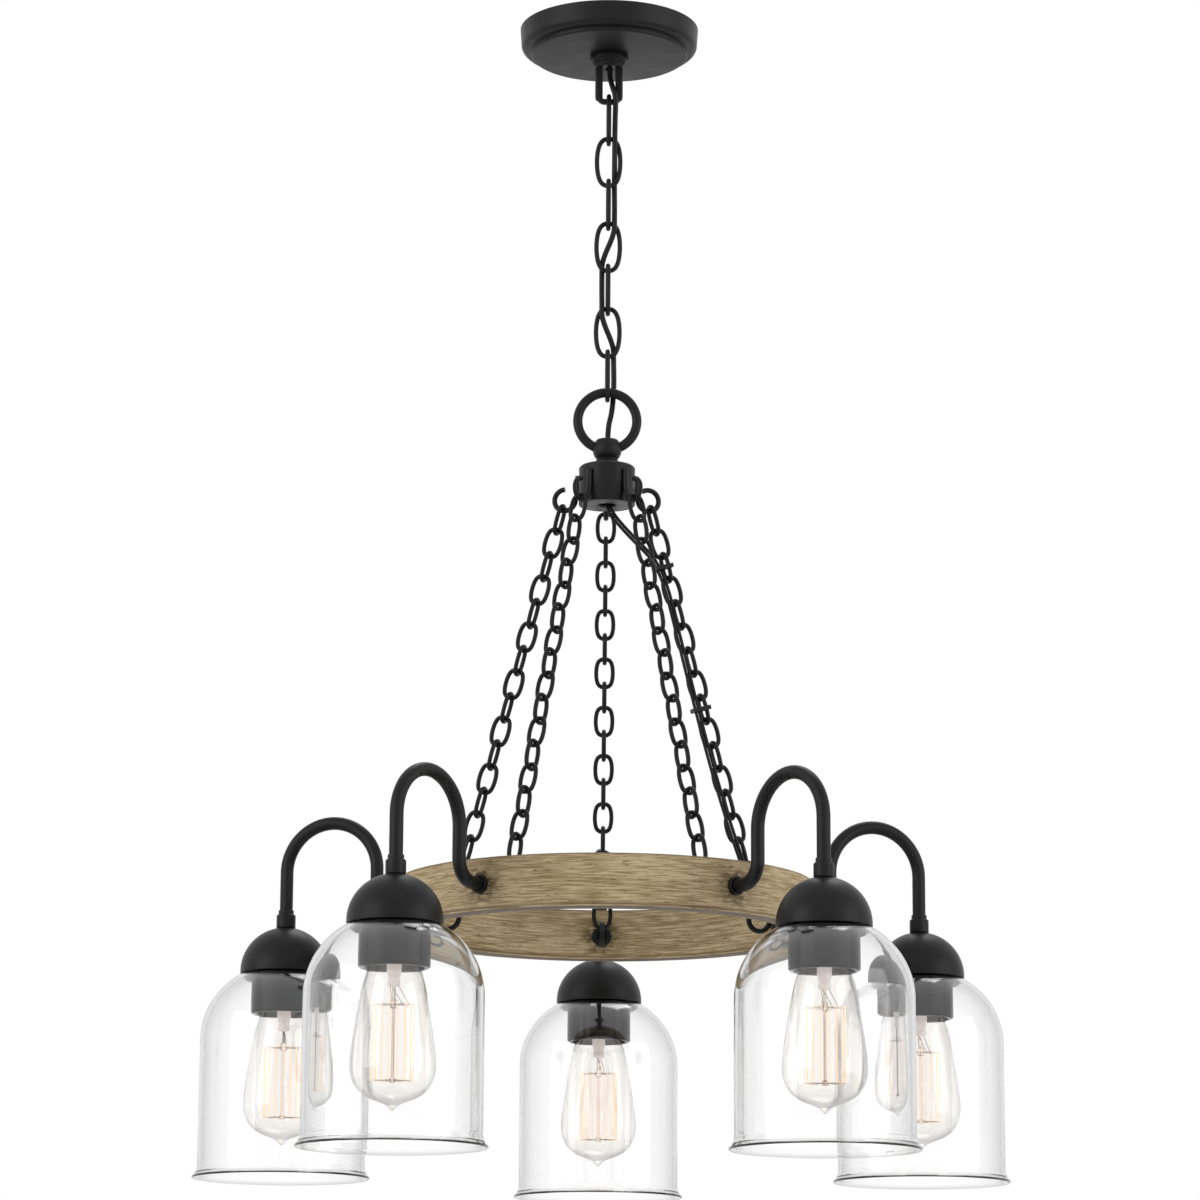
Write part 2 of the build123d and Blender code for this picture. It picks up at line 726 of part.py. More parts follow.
def at_light(shape, light):
    """Shape made on the origin's axis, moved onto a light's axis."""
    return Rot(0, 0, light_angle(light)) * Pos(light_s, 0, 0) * shape


def at_every_light(shape):
    """A copy of the shape on each light's axis."""
    return [at_light(shape, light) for light in range(LIGHT_COUNT)]


def neck_coupling():
    """Short coupling on the shade cap, with a thin sleeve above it."""
    bore = ARM_R + TOUCH
    points = [
        (bore, 0),
        (COUPLING_R, 0),
        (COUPLING_R, COUPLING_LENGTH - COUPLING_CHAMFER),
        (COUPLING_R - COUPLING_CHAMFER, COUPLING_LENGTH),
        (SLEEVE_R, COUPLING_LENGTH),
        (SLEEVE_R, COUPLING_LENGTH + SLEEVE_LENGTH),
        (bore, COUPLING_LENGTH + SLEEVE_LENGTH),
    ]
    return turned(points, cap_seat)


def cap_solid(inset):
    """Solid inside the shade cap's outside, drawn in by inset."""
    wide = CAP_R - inset
    dome = EllipticalCenterArc((0, cap_shoulder), wide, CAP_TOP_R - inset, arc_size=90)
    outline = Line((0, cap_lip), (wide, cap_lip)) + Line((wide, cap_lip), (wide, cap_shoulder)) + dome
    outline += Line((0, cap_top - inset), (0, cap_lip))
    return revolve(Plane.XZ * make_face(outline), Axis.Z)


def shade_cap():
    """Domed cap on the glass shade, with a short straight lip."""
    bore = disc(ARM_R + TOUCH, CAP_TOP_R, cap_top)
    return cap_solid(0) - cap_solid(CAP_WALL) - bore


def glass_solid(inset):
    """Solid inside the shade's outside, drawn in by inset."""
    wide = GLASS_R - inset
    high = GLASS_RISE - inset
    flat = glass_top - inset
    flat_r = wide * math.sqrt(1 - ((flat - glass_mid) / high) ** 2)
    corner = math.degrees(math.asin((flat - glass_mid) / high))
    shoulder = EllipticalCenterArc((0, glass_mid), wide, high, arc_size=corner)
    flare = rim_z + RIM_FLARE
    rim = RIM_R - inset
    outline = Line((0, rim_z), (rim, rim_z)) + Line((rim, rim_z), (wide, flare))
    outline += Line((wide, flare), (wide, glass_mid))
    outline += shoulder + Line((flat_r, flat), (0, flat)) + Line((0, flat), (0, rim_z))
    return revolve(Plane.XZ * make_face(outline), Axis.Z)


def glass_shade(light):
    """Clear bell shade with a holed flat top and a flared rim."""
    glass = glass_solid(0) - glass_solid(GLASS_WALL)
    glass -= disc(GLASS_HOLE_R, 4 * GLASS_WALL, glass_top + GLASS_WALL)
    return at_light(glass, light)


def socket_body():
    """Insulating cup on the arm's end, open below."""
    top = -SOCKET_BOSS_LENGTH
    ceiling = BASE_LENGTH + CONTACT_GAP - SOCKET_LENGTH
    points = [
        (0, 0),
        (SOCKET_BOSS_R, 0),
        (SOCKET_BOSS_R, top),
        (SOCKET_R - SOCKET_CHAMFER, top),
        (SOCKET_R, top - SOCKET_CHAMFER),
        (SOCKET_R, -SOCKET_LENGTH),
        (socket_bore_r, -SOCKET_LENGTH),
        (socket_bore_r, ceiling),
        (0, ceiling),
    ]
    return turned(points, socket_top) - disc(ARM_R + TOUCH, socket_top - arm_end, socket_top)


def socket_shell():
    """Metal screw shell in the socket, round the bulb's base."""
    shell = Circle(socket_bore_r) - Circle(shell_inner_r)
    return Pos(0, 0, socket_bottom) * extrude(shell, SHELL_LENGTH)


def socket_ring():
    """Flanged ring nut on the socket that clamps the glass from inside."""
    bore = SOCKET_R + TOUCH
    low = -SOCKET_RING_LENGTH
    lip = low + LIP_LENGTH
    points = [
        (bore, 0),
        (FLANGE_R, 0),
        (FLANGE_R, -FLANGE_THICK),
        (SOCKET_RING_R, -FLANGE_THICK),
        (SOCKET_RING_R, low + LIP_CHAMFER),
        (SOCKET_RING_R - LIP_CHAMFER, low),
        (LIP_BORE_R, low),
        (LIP_BORE_R, lip),
        (bore, lip),
    ]
    return turned(points, glass_seat)


def bulb_solid(inset):
    """Solid inside the bulb's outside, drawn in by inset."""
    top = (0, bulb_top - BASE_LENGTH + BULB_IN_BASE)
    mouth = (BULB_THROAT_R - inset, top[1])
    throat = (BULB_THROAT_R - inset, bulb_top - BASE_LENGTH)
    neck = (BULB_NECK_R - inset, bulb_top - BULB_NECK_DROP)
    shoulder = (BULB_SHOULDER_R - inset, bulb_top - BULB_SHOULDER_DROP)
    wide = (BULB_R - inset, bulb_top - BULB_WIDEST_DROP)
    crown = (BULB_CROWN_R - inset / 2, bulb_top - BULB_CROWN_DROP + inset)
    end = (BULB_NUB_R, bulb_top - BULB_LENGTH + BULB_NUB_LENGTH + inset)
    tip = (0, end[1] if inset else bulb_top - BULB_LENGTH)
    swell = ((shoulder[0] + wide[0]) / 2 + BULB_SWELL, (shoulder[1] + wide[1]) / 2)
    outline = Line(top, mouth) + Line(mouth, throat) + Line(throat, neck) + Line(neck, shoulder)
    outline += ThreePointArc(shoulder, swell, wide) + ThreePointArc(wide, crown, end)
    outline += Line(end, tip) + Line(tip, top)
    return revolve(Plane.XZ * make_face(outline), Axis.Z)


def bulb_glass(light):
    """Hollow long bulb with a sealed tip, open only into its base."""
    return at_light(bulb_solid(0) - bulb_solid(BULB_WALL), light)


def bulb_base(light):
    """Screw base, contact, glass stem with its rod, and the filament cage."""
    throat = BULB_THROAT_R + TOUCH
    floor = BULB_IN_BASE - BASE_LENGTH
    shell = [
        (0, 0),
        (BASE_BUTTON_R, 0),
        (BASE_BUTTON_R, -BASE_BUTTON_H),
        (BASE_CONE_R, -BASE_BUTTON_H),
        (BASE_R, -BASE_BUTTON_H - BASE_CONE_H),
        (BASE_R, -BASE_LENGTH),
        (throat, -BASE_LENGTH),
        (throat, floor),
        (0, floor),
    ]
    stem = [
        (0, floor),
        (STEM_R, floor),
        (STEM_R, -STEM_DROP + STEM_TAPER),
        (STEM_TIP_R, -STEM_DROP),
        (0, -STEM_DROP),
    ]
    rod_bottom = FILAMENT_TOP + FILAMENT_HEIGHT
    rod = disc(ROD_R, rod_bottom - STEM_DROP + ROD_IN_STEM, bulb_top - STEM_DROP + ROD_IN_STEM)
    solids = [turned(shell, bulb_top), turned(stem, bulb_top) + rod, filament_cage()]
    return [at_light(solid, light) for solid in solids]


def filament_cage():
    """Filament strands between an upper and a lower ring of supports, with two spokes."""
    top = bulb_top - FILAMENT_TOP
    low = top - FILAMENT_HEIGHT
    strand = Box(FILAMENT_WIRE, FILAMENT_WIRE, FILAMENT_HEIGHT)
    cage = None
    for z in (top, low):
        hoop = RegularPolygon(FILAMENT_R + FILAMENT_WIRE / 2, FILAMENT_STRANDS)
        hoop -= RegularPolygon(FILAMENT_R - FILAMENT_WIRE / 2, FILAMENT_STRANDS)
        hoop = Pos(0, 0, z - FILAMENT_WIRE / 2) * extrude(hoop, FILAMENT_WIRE)
        cage = hoop if cage is None else cage + hoop
    for number in range(FILAMENT_STRANDS):
        turn = Rot(0, 0, number * 360 / FILAMENT_STRANDS)
        cage += turn * Pos(FILAMENT_R, 0, (top + low) / 2) * strand
    spoke_length = FILAMENT_R - ROD_R
    spoke = Pos(ROD_R + spoke_length / 2 + SPOKE_GAP, 0, 0) * Box(spoke_length, FILAMENT_WIRE, FILAMENT_WIRE)
    for z in (top, low):
        for turn in (0, 180):
            cage += Pos(0, 0, z) * Rot(0, 0, turn) * spoke
    return cage


def bush_z():
    """Height of the wires' entry into the ring."""
    return eye_z + BUSH_ABOVE_EYE


def bush_bore_r():
    """Bore that passes both wires one above the other."""
    return WIRE_SPACING / 2 + WIRE_R + RUNNING


def tie_place(index):
    """Point (s, z) on the lower chain at tie number index."""
    return chain_place(lower_link_distance(TIE_LINKS[index]))


def beside_chain(distance, away):
    """Point (s, z) at a distance along the lower chain and a step from it towards the axis."""
    s, z = chain_place(distance)
    tilt = math.radians(lower_tilt)
    return s - away * math.cos(tilt), z - away * math.sin(tilt)


def wire_route():
    """Middle of the two lower wires: distance from the axis, side step, height."""
    start_s = SPLICE_BACK * math.sin(math.radians(light_angle(2)))
    start_side = SPLICE_BACK * math.cos(math.radians(light_angle(2)))
    splice_low = splice_top - SPLICE_LENGTH
    tie_1, tie_2 = [lower_link_distance(number) for number in TIE_LINKS]
    route = [
        (start_s, start_side, splice_low),
        (start_s, start_side, splice_low - 5),
        (start_s + 2.5, start_side - 1.5, hub_bottom - 5),
        (18, 0, hub_bottom - 21),
    ]
    beside = [
        (tie_1 - 1.3, 4.7, WIRE_SIDE),
        (tie_1 + 50.4, 5.6, WIRE_SIDE - 0.3),
        (tie_2 - 1.8, 6.4, WIRE_SIDE),
        (tie_2 + 48.0, 6.8, WIRE_SIDE - 1.0),
        (tie_2 + 96.0, 5.8, WIRE_SIDE - 3.6),
    ]
    for distance, away, side in beside:
        s, z = beside_chain(distance, away)
        route.append((s, side, z))
    route.append((ring_inner_r - 27, BUSH_SIDE + 0.8, bush_z() + 18))
    route.append((ring_inner_r - 12, BUSH_SIDE, bush_z()))
    route.append((ring_inner_r + RING_WALL + 2, BUSH_SIDE, bush_z()))
    return route


def lower_wires():
    """Two wires side by side from the splice down to the ring."""
    route = wire_route()
    steps = path_mitres([(s, z) for s, _, z in route], closed=False)
    wires = []
    for way in (-0.5, 0.5):
        shift = way * WIRE_SPACING
        points = [(s + shift * nx, side, z + shift * nz) for (s, side, z), (nx, nz) in zip(route, steps)]
        wire = cord_along(eased_route(points), WIRE_R, WIRE_FLATS)
        wires.append(Rot(0, 0, light_angle(2)) * wire)
    return wires


def cable_ties():
    """Two bands that hold the wires to a strand of the lower chain."""
    ties = []
    for index, number in enumerate(TIE_LINKS):
        s, z = tie_place(index)
        strand = -(LOWER_WIDTH - LOWER_WIRE) / 2
        side_low = strand - LOWER_WIRE / 2 - TIE_ROOM_STRAND
        side_high = WIRE_SIDE + WIRE_R + TIE_ROOM
        reach_low = -(TIE_REACH[index] + WIRE_SPACING / 2 + WIRE_R + TIE_ROOM)
        reach_high = LOWER_WIRE / 2 + TIE_ROOM
        inner = Rectangle(reach_high - reach_low, side_high - side_low)
        outer = Rectangle(reach_high - reach_low + 2 * TIE_THICK, side_high - side_low + 2 * TIE_THICK)
        centre = ((reach_high + reach_low) / 2, (side_high + side_low) / 2)
        band = extrude(Pos(*centre) * (outer - inner), TIE_WIDTH / 2, both=True)
        placed = Pos(s, 0, z) * Rot(0, -lower_tilt, 0) * band
        ties.append(Rot(0, 0, light_angle(2)) * placed)
    return ties


def wire_bush():
    """Flanged bush in the ring's inner wall, round the two wires."""
    seat = flat_seat(ring_inner_r, abs(BUSH_SIDE) + BUSH_R) - TOUCH
    flange = radial_disc(BUSH_R, seat - BUSH_THICK, seat, bush_z())
    flange -= radial_disc(bush_bore_r(), seat - BUSH_THICK - CUT_PAST, seat + CUT_PAST, bush_z())
    return Rot(0, 0, light_angle(2)) * Pos(0, BUSH_SIDE, 0) * flange


def write(name, shape):
    """Write one node, a solid or a group of separate solids."""
    if isinstance(shape, list):
        shape = Compound(children=[Solid(s.wrapped) if isinstance(s, Solid) else s.solid() for s in shape])
    export_step(shape, f"parts/{name}.step")


def write_fixture():
    """Write every node of the chandelier."""
    write("crossbar", crossbar())
    write("threaded_nipple", threaded_nipple())
    write("nipple_locknuts", nipple_locknuts())
    write("canopy_loop", canopy_loop())
    write("canopy", canopy())
    write("canopy_collar", canopy_collar())
    for number in range(1, LINK_COUNT + 1):
        write(f"chain_link_{number}", chain_link(number))
    write("supply_cord", supply_cord())
    write("hanging_ring", hanging_ring_solid())
    write("hub_ball", hub_ball())
    write("hub_body", hub_body())
    write("hub_plate", hub_plate())
    write("wire_splice", wire_splice())
    write("hub_hooks", hub_hooks())
    write("ring_channel", ring_channel())
    write("ring_cover", ring_cover())
    write("ring_eyes", ring_eyes())
    write("eye_nuts", eye_nuts())
    write("arm_collars", arm_collars())
    write("arm_locknuts", arm_locknuts())
    write("neck_couplings", at_every_light(neck_coupling()))
    write("shade_caps", at_every_light(shade_cap()))
    write("socket_bodies", at_every_light(socket_body()))
    write("socket_shells", at_every_light(socket_shell()))
    write("socket_rings", at_every_light(socket_ring()))
    write("lower_wires", lower_wires())
    write("cable_ties", cable_ties())
    write("wire_bush", wire_bush())
    for light, name in enumerate(LIGHT_NAMES):
        write(f"lower_chain_{name}", lower_chain(light))
        write(f"arm_{name}", arm(light))
        write(f"glass_shade_{name}", glass_shade(light))
        write(f"bulb_glass_{name}", bulb_glass(light))
        write(f"bulb_base_{name}", bulb_base(light))


os.makedirs("parts", exist_ok=True)
write_fixture()
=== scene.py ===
"""Five-light ring chandelier: the visible pieces and their finishes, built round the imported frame.

Lengths are in metres, +Z is up and the origin is where the fixture meets the ceiling. Each light lies
in a radial plane, in which s is the distance from the fixture's axis.
"""
import logging
import math
from collections.abc import Sequence
from dataclasses import dataclass
from enum import Enum
from typing import Any

import bmesh
import bpy
from mathutils import Matrix, Vector


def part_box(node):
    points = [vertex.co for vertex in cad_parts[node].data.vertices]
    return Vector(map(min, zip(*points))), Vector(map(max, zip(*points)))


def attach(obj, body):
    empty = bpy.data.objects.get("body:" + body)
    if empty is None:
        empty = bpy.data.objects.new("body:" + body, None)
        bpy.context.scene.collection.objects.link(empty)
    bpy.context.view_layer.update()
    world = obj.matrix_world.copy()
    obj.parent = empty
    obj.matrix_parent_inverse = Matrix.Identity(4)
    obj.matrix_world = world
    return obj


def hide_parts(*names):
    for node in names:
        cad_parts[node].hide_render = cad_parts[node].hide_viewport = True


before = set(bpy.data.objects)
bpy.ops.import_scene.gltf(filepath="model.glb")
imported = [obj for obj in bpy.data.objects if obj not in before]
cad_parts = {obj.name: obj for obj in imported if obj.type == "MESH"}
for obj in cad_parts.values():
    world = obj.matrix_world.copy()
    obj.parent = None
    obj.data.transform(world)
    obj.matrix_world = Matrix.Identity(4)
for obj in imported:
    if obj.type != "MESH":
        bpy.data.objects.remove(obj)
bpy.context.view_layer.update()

LIGHT_COUNT = 5
FIRST_ANGLE = math.radians(-126)
STEP_ANGLE = math.tau / LIGHT_COUNT
FIXTURE = "fixture"
LIGHT_S = 0.2436
RING_R = 0.149
RING_TOP = -0.643242
RING_BOTTOM = -0.679742
ARM_Z = (RING_TOP + RING_BOTTOM) / 2
HOOK_S = 0.032
HOOK_Z = -0.3587
CHAIN_TILT = math.radians(15.767)
RIM_Z = -0.848515

Point = tuple[float, float]
Place = tuple[float, float, float]
Colour = tuple[float, float, float]
Piece = bpy.types.Object
Node = bpy.types.Node
Material = bpy.types.Material

log = logging.getLogger("chandelier")


class Slot(Enum):
    """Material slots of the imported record."""

    BLACK_METAL = "black_metal"
    ZINC_STEEL = "zinc_steel"
    BLACK_CORD = "black_cord"
    BLACK_PLASTIC = "black_plastic"
    WEATHERED_WOOD = "weathered_wood"
    DARK_WOOD = "dark_wood"
    CLEAR_GLASS = "clear_glass"
    BULB_GLASS = "bulb_glass"
    COPPER = "copper"
    BRASS = "brass"


class Light(Enum):
    """The five lights, in order round the ring."""

    FRONT_LEFT = 0
    FRONT_RIGHT = 1
    RIGHT = 2
    BACK = 3
    LEFT = 4

    @property
    def angle(self) -> float:
        """Angle about the fixture's axis, in radians."""
        return FIRST_ANGLE + self.value * STEP_ANGLE

    @property
    def label(self) -> str:
        """The ending that this light's pieces have in their names."""
        return self.name.lower()

    def place(self, s: float, z: float, side: float = 0.0) -> Vector:
        """Point in this light's plane, or beside it.

        Args:
            s: distance from the fixture's axis.
            z: height.
            side: step to the left of the outward direction.

        Returns:
            The point in the row frame.
        """
        cos, sin = math.cos(self.angle), math.sin(self.angle)
        return Vector((s * cos - side * sin, s * sin + side * cos, z))


class Tree:
    """A node tree with short ways to add and join its nodes."""

    def __init__(self, tree: bpy.types.NodeTree) -> None:
        """Keep the tree that nodes go into."""
        self.tree = tree

    def add(self, kind: str, inputs: dict[Any, Any] | None = None, **settings: Any) -> Node:
        """Add one node.

        Args:
            kind: Blender's name for the node type.
            inputs: socket name or number to a value, or to another node's output socket.
            settings: the node's own properties.

        Returns:
            The new node.
        """
        node = self.tree.nodes.new(kind)
        for key, value in settings.items():
            setattr(node, key, value)
        for key, value in (inputs or {}).items():
            if isinstance(value, bpy.types.NodeSocket):
                self.link(value, node.inputs[key])
            else:
                node.inputs[key].default_value = value
        return node

    def math(self, operation: str, first: Any, second: Any = 0.0, clamp: bool = False) -> Any:
        """Result of one sum on two values or sockets."""
        node = self.add("ShaderNodeMath", {0: first, 1: second}, operation=operation, use_clamp=clamp)
        return node.outputs[0]

    def link(self, source: bpy.types.NodeSocket, target: bpy.types.NodeSocket) -> None:
        """Join one node's output to another node's input."""
        self.tree.links.new(source, target)

    def socket(self, name: str, kind: str, default: Any = None, out: bool = False) -> None:
        """Add a named socket to the tree's interface."""
        made = self.tree.interface.new_socket(
            name=name, in_out="OUTPUT" if out else "INPUT", socket_type=f"NodeSocket{kind}"
        )
        if default is not None:
            made.default_value = default


class GeometryTree(Tree):
    """A Geometry Nodes tree whose result is dressed in one material."""

    def __init__(self, name: str) -> None:
        """Start a tree with its geometry and material sockets."""
        super().__init__(bpy.data.node_groups.new(name, "GeometryNodeTree"))
        self.socket("Geometry", "Geometry")
        self.socket("Geometry", "Geometry", out=True)
        self.socket("Material", "Material")

    def open(self) -> Node:
        """Place the input node, once every named input is there."""
        self.source = self.add("NodeGroupInput")
        return self.source

    def close(self, shape: bpy.types.NodeSocket) -> None:
        """End the tree in plain geometry with its material."""
        plain = self.add("GeometryNodeRealizeInstances", {"Geometry": shape})
        dressed = self.add(
            "GeometryNodeSetMaterial",
            {"Geometry": plain.outputs["Geometry"], "Material": self.source.outputs["Material"]},
        )
        self.add("NodeGroupOutput", {"Geometry": dressed.outputs["Geometry"]})

    def swept(self, curve: Any, sides: Any, radius: Any) -> Any:
        """Round tube along a curve, with closed ends."""
        size = {"Resolution": sides, "Radius": radius}
        section = self.add("GeometryNodeCurvePrimitiveCircle", size, mode="RADIUS").outputs["Curve"]
        parts = {"Curve": curve, "Profile Curve": section, "Fill Caps": True}
        return self.add("GeometryNodeCurveToMesh", parts).outputs["Mesh"]

    def turned(self, points: Any, shape: Any, angle: Any) -> Any:
        """Copies of a shape on points, each turned about Z."""
        about = self.add("ShaderNodeCombineXYZ", {"Z": angle}).outputs[0]
        spin = self.add("FunctionNodeEulerToRotation", {"Euler": about}).outputs["Rotation"]
        parts = {"Points": points, "Instance": shape, "Rotation": spin}
        return self.add("GeometryNodeInstanceOnPoints", parts).outputs["Instances"]

    def grow(self, seed: Piece, material: Material, **values: Any) -> Piece:
        """Run the tree on a seed object.

        Args:
            seed: the object that the tree starts from. It is used up.
            material: the finish of the result.
            values: the tree's named inputs, with underscores for spaces.

        Returns:
            A plain mesh object with the seed's name.
        """
        modifier = seed.modifiers.new(self.tree.name, "NODES")
        modifier.node_group = self.tree
        sockets = {
            item.name: item.identifier
            for item in self.tree.interface.items_tree
            if item.item_type == "SOCKET" and item.in_out == "INPUT"
        }
        modifier[sockets["Material"]] = material
        for key, value in values.items():
            modifier[sockets[key.replace("_", " ")]] = value
        bpy.context.view_layer.update()
        graph = bpy.context.evaluated_depsgraph_get()
        mesh = bpy.data.meshes.new_from_object(seed.evaluated_get(graph), depsgraph=graph)
        name = seed.name
        seed.modifiers.remove(modifier)
        bpy.data.objects.remove(seed)
        return placed(name, mesh)


def placed(name: str, mesh: bpy.types.Mesh) -> Piece:
    """Object at the origin for a mesh that is already in place."""
    mesh.name = name
    piece = bpy.data.objects.new(name, mesh)
    bpy.context.scene.collection.objects.link(piece)
    return piece


def piece_from(name: str, points: Sequence[Any], faces: Sequence[Sequence[int]]) -> Piece:
    """Object from points and faces."""
    mesh = bpy.data.meshes.new(name)
    mesh.from_pydata([tuple(p) for p in points], [], faces)
    return placed(name, mesh)


def wrapped(rows: int, sides: int, closed: bool = False) -> list[list[int]]:
    """Faces between rows of points that go round.

    Args:
        rows: rows of points.
        sides: points in a row.
        closed: whether the last row joins the first.

    Returns:
        Four point numbers for each face.
    """
    starts = [(row * sides, (row + 1) % rows * sides) for row in range(rows if closed else rows - 1)]
    steps = [(i, (i + 1) % sides) for i in range(sides)]
    return [[here + i, here + j, beyond + j, beyond + i] for here, beyond in starts for i, j in steps]


def wire_seed(name: str, path: Sequence[Sequence[float]], closed: bool = False) -> Piece:
    """Object that holds one path as loose edges."""
    mesh = bpy.data.meshes.new(name)
    edges = [(i, i + 1) for i in range(len(path) - 1)]
    if closed:
        edges.append((len(path) - 1, 0))
    mesh.from_pydata([tuple(p) for p in path], edges, [])
    return placed(name, mesh)


def joined(name: str, pieces: Sequence[Piece]) -> Piece:
    """One object from several, which are used up."""
    whole = bmesh.new()
    for piece in pieces:
        whole.from_mesh(piece.data)
    mesh = bpy.data.meshes.new(name)
    whole.to_mesh(mesh)
    whole.free()
    for piece in pieces:
        bpy.data.objects.remove(piece)
    return placed(name, mesh)


def moved(piece: Piece, matrix: Matrix) -> Piece:
    """The piece with a turn or a step put into its mesh."""
    piece.data.transform(matrix)
    return piece


def smoothed(piece: Piece, sharp_over: float = 38.0) -> Piece:
    """The piece with faces outwards and smooth shading, except at corners sharper than an angle."""
    shape = bmesh.new()
    shape.from_mesh(piece.data)
    bmesh.ops.remove_doubles(shape, verts=shape.verts, dist=1e-7)
    bmesh.ops.recalc_face_normals(shape, faces=shape.faces)
    shape.to_mesh(piece.data)
    shape.free()
    piece.data.shade_smooth()
    piece.data.set_sharp_from_angle(angle=math.radians(sharp_over))
    return piece


def fit(
    piece: Piece,
    body: str,
    finish: "Finish",
    nodes: Sequence[str],
    smooth: bool = True,
) -> Piece:
    """Dress a finished piece and fix it to its body.

    Args:
        piece: the piece, in place.
        body: the CAD body that it moves with.
        finish: its finish.
        nodes: the CAD nodes that it stands for.
        smooth: whether its normals still have to be made.

    Returns:
        The piece.
    """
    if smooth:
        smoothed(piece)
    piece.data.materials.clear()
    piece.data.materials.append(finish.material())
    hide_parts(*nodes)
    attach(piece, body)
    log.info("%s on %s, %d faces", piece.name, body, len(piece.data.polygons))
    return piece


def fit_turned(
    name: str,
    outline: Sequence[Point],
    body: str,
    finish: "Finish",
    node: str,
    sides: int = 72,
    closed: bool = True,
) -> None:
    """Turn a piece about the fixture's axis, dress it and fix it to its body."""
    fit(lathe(name, outline, sides, closed), body, finish, [node])


def arc(centre: Point, radius: float, start: float, end: float, steps: int) -> list[Point]:
    """Points on an arc in the radial plane, angles in degrees from the outward direction."""
    angles = [math.radians(start + (end - start) * i / steps) for i in range(steps + 1)]
    return [(centre[0] + radius * math.cos(a), centre[1] + radius * math.sin(a)) for a in angles]


def block(inner: float, outer: float, low: float, high: float) -> list[Point]:
    """Corners of a plain section between two radii and two heights."""
    return [(inner, low), (outer, low), (outer, high), (inner, high)]


def ellipse(z: float, wide: float, high: float, start: float, end: float, steps: int) -> list[Point]:
    """Points on an ellipse about the axis, angles in degrees."""
    angles = [math.radians(start + (end - start) * i / steps) for i in range(steps + 1)]
    return [(wide * math.cos(a), z + high * math.sin(a)) for a in angles]


def eased(outline: Sequence[Point], radius: float, steps: int = 3, closed: bool = True) -> list[Point]:
    """Outline with its sharp corners rounded.

    Args:
        outline: flat points.
        radius: the rounding, smaller where a run is short.
        steps: faces across a rounding.
        closed: whether the last point joins the first.

    Returns:
        The new flat points.
    """
    corners = [Vector(p) for p in outline]
    count = len(corners)
    points: list[Point] = []
    for i, here in enumerate(corners):
        if not closed and i in (0, count - 1):
            points.append(tuple(here))
            continue
        into = here - corners[i - 1]
        away = corners[(i + 1) % count] - here
        turn = into.angle(away)
        if turn < math.radians(14):
            points.append(tuple(here))
            continue
        reach = min(radius * math.tan(turn / 2), 0.45 * into.length, 0.45 * away.length)
        first = here - into.normalized() * reach
        last = here + away.normalized() * reach
        for step in range(steps + 1):
            t = step / steps
            points.append(tuple(first * (1 - t) ** 2 + here * 2 * t * (1 - t) + last * t**2))
    return points


def lathe(name: str, outline: Sequence[Point], sides: int = 96, closed: bool = True) -> Piece:
    """Turned piece about the Z axis.

    Args:
        name: the piece's name.
        outline: points (r, z); a point on the axis becomes a pole.
        sides: faces round the axis.
        closed: whether the last point joins the first.

    Returns:
        The piece.
    """
    points: list[Place] = []
    rings: list[list[int]] = []
    for r, z in outline:
        if abs(r) < 1e-7:
            rings.append([len(points)] * sides)
            points.append((0.0, 0.0, z))
            continue
        rings.append(list(range(len(points), len(points) + sides)))
        for i in range(sides):
            angle = math.tau * i / sides
            points.append((r * math.cos(angle), r * math.sin(angle), z))
    faces = []
    following = rings[1:] + rings[:1] if closed else rings[1:]
    for ring, beyond in zip(rings, following):
        for i in range(sides):
            j = (i + 1) % sides
            corners = dict.fromkeys((ring[i], ring[j], beyond[j], beyond[i]))
            if len(corners) > 2:
                faces.append(list(corners))
    return piece_from(name, points, faces)


def across(piece: Piece, s: float, z: float) -> Piece:
    """A piece turned about Z, laid along the outward direction at (s, z) with its top outwards."""
    return moved(piece, Matrix.Translation((s, 0, z)) @ Matrix.Rotation(math.radians(90), 4, "Y"))


def hex_nut(name: str, flats: float, thickness: float, bore: float) -> Piece:
    """Hexagonal nut on the origin, with chamfered corners and an open bore."""
    corner = flats / 2 / math.cos(math.pi / 6)
    ease = 0.08 * thickness
    levels = ((corner - ease, 0.0), (corner, ease), (corner, thickness - ease), (corner - ease, thickness))
    outline = [*levels, (bore, thickness), (bore, 0.0)]
    return lathe(name, outline, 6)


def tube(name: str, path: Sequence[Vector], radius: float, sides: int = 14) -> Piece:
    """Round tube with closed ends along a path, without twist."""
    points: list[Vector] = []
    across_path = (path[1] - path[0]).orthogonal().normalized()
    for k, here in enumerate(path):
        along = (path[min(k + 1, len(path) - 1)] - path[max(k - 1, 0)]).normalized()
        across_path = (across_path - along * across_path.dot(along)).normalized()
        beside = along.cross(across_path)
        for i in range(sides):
            angle = math.tau * i / sides
            points.append(here + radius * (math.cos(angle) * across_path + math.sin(angle) * beside))
    ends = [list(range(sides)), list(range(len(points) - sides, len(points)))]
    return piece_from(name, points, wrapped(len(path), sides) + ends)


def flowing(name: str, route: Sequence[Sequence[float]]) -> list[Vector]:
    """Points on the smooth line of a cord or wire that follows a given route."""
    curve = bpy.data.curves.new(name, "CURVE")
    curve.dimensions = "3D"
    curve.resolution_u = 12
    line = curve.splines.new("NURBS")
    line.points.add(len(route) - 1)
    for point, place in zip(line.points, route):
        point.co = (*place, 1.0)
    line.order_u = 3
    line.use_endpoint_u = True
    guide = bpy.data.objects.new(name, curve)
    bpy.context.scene.collection.objects.link(guide)
    bpy.context.view_layer.update()
    graph = bpy.context.evaluated_depsgraph_get()
    mesh = bpy.data.meshes.new_from_object(guide.evaluated_get(graph), depsgraph=graph)
    points = [v.co.copy() for v in mesh.vertices]
    bpy.data.objects.remove(guide)
    bpy.data.meshes.remove(mesh)
    return points


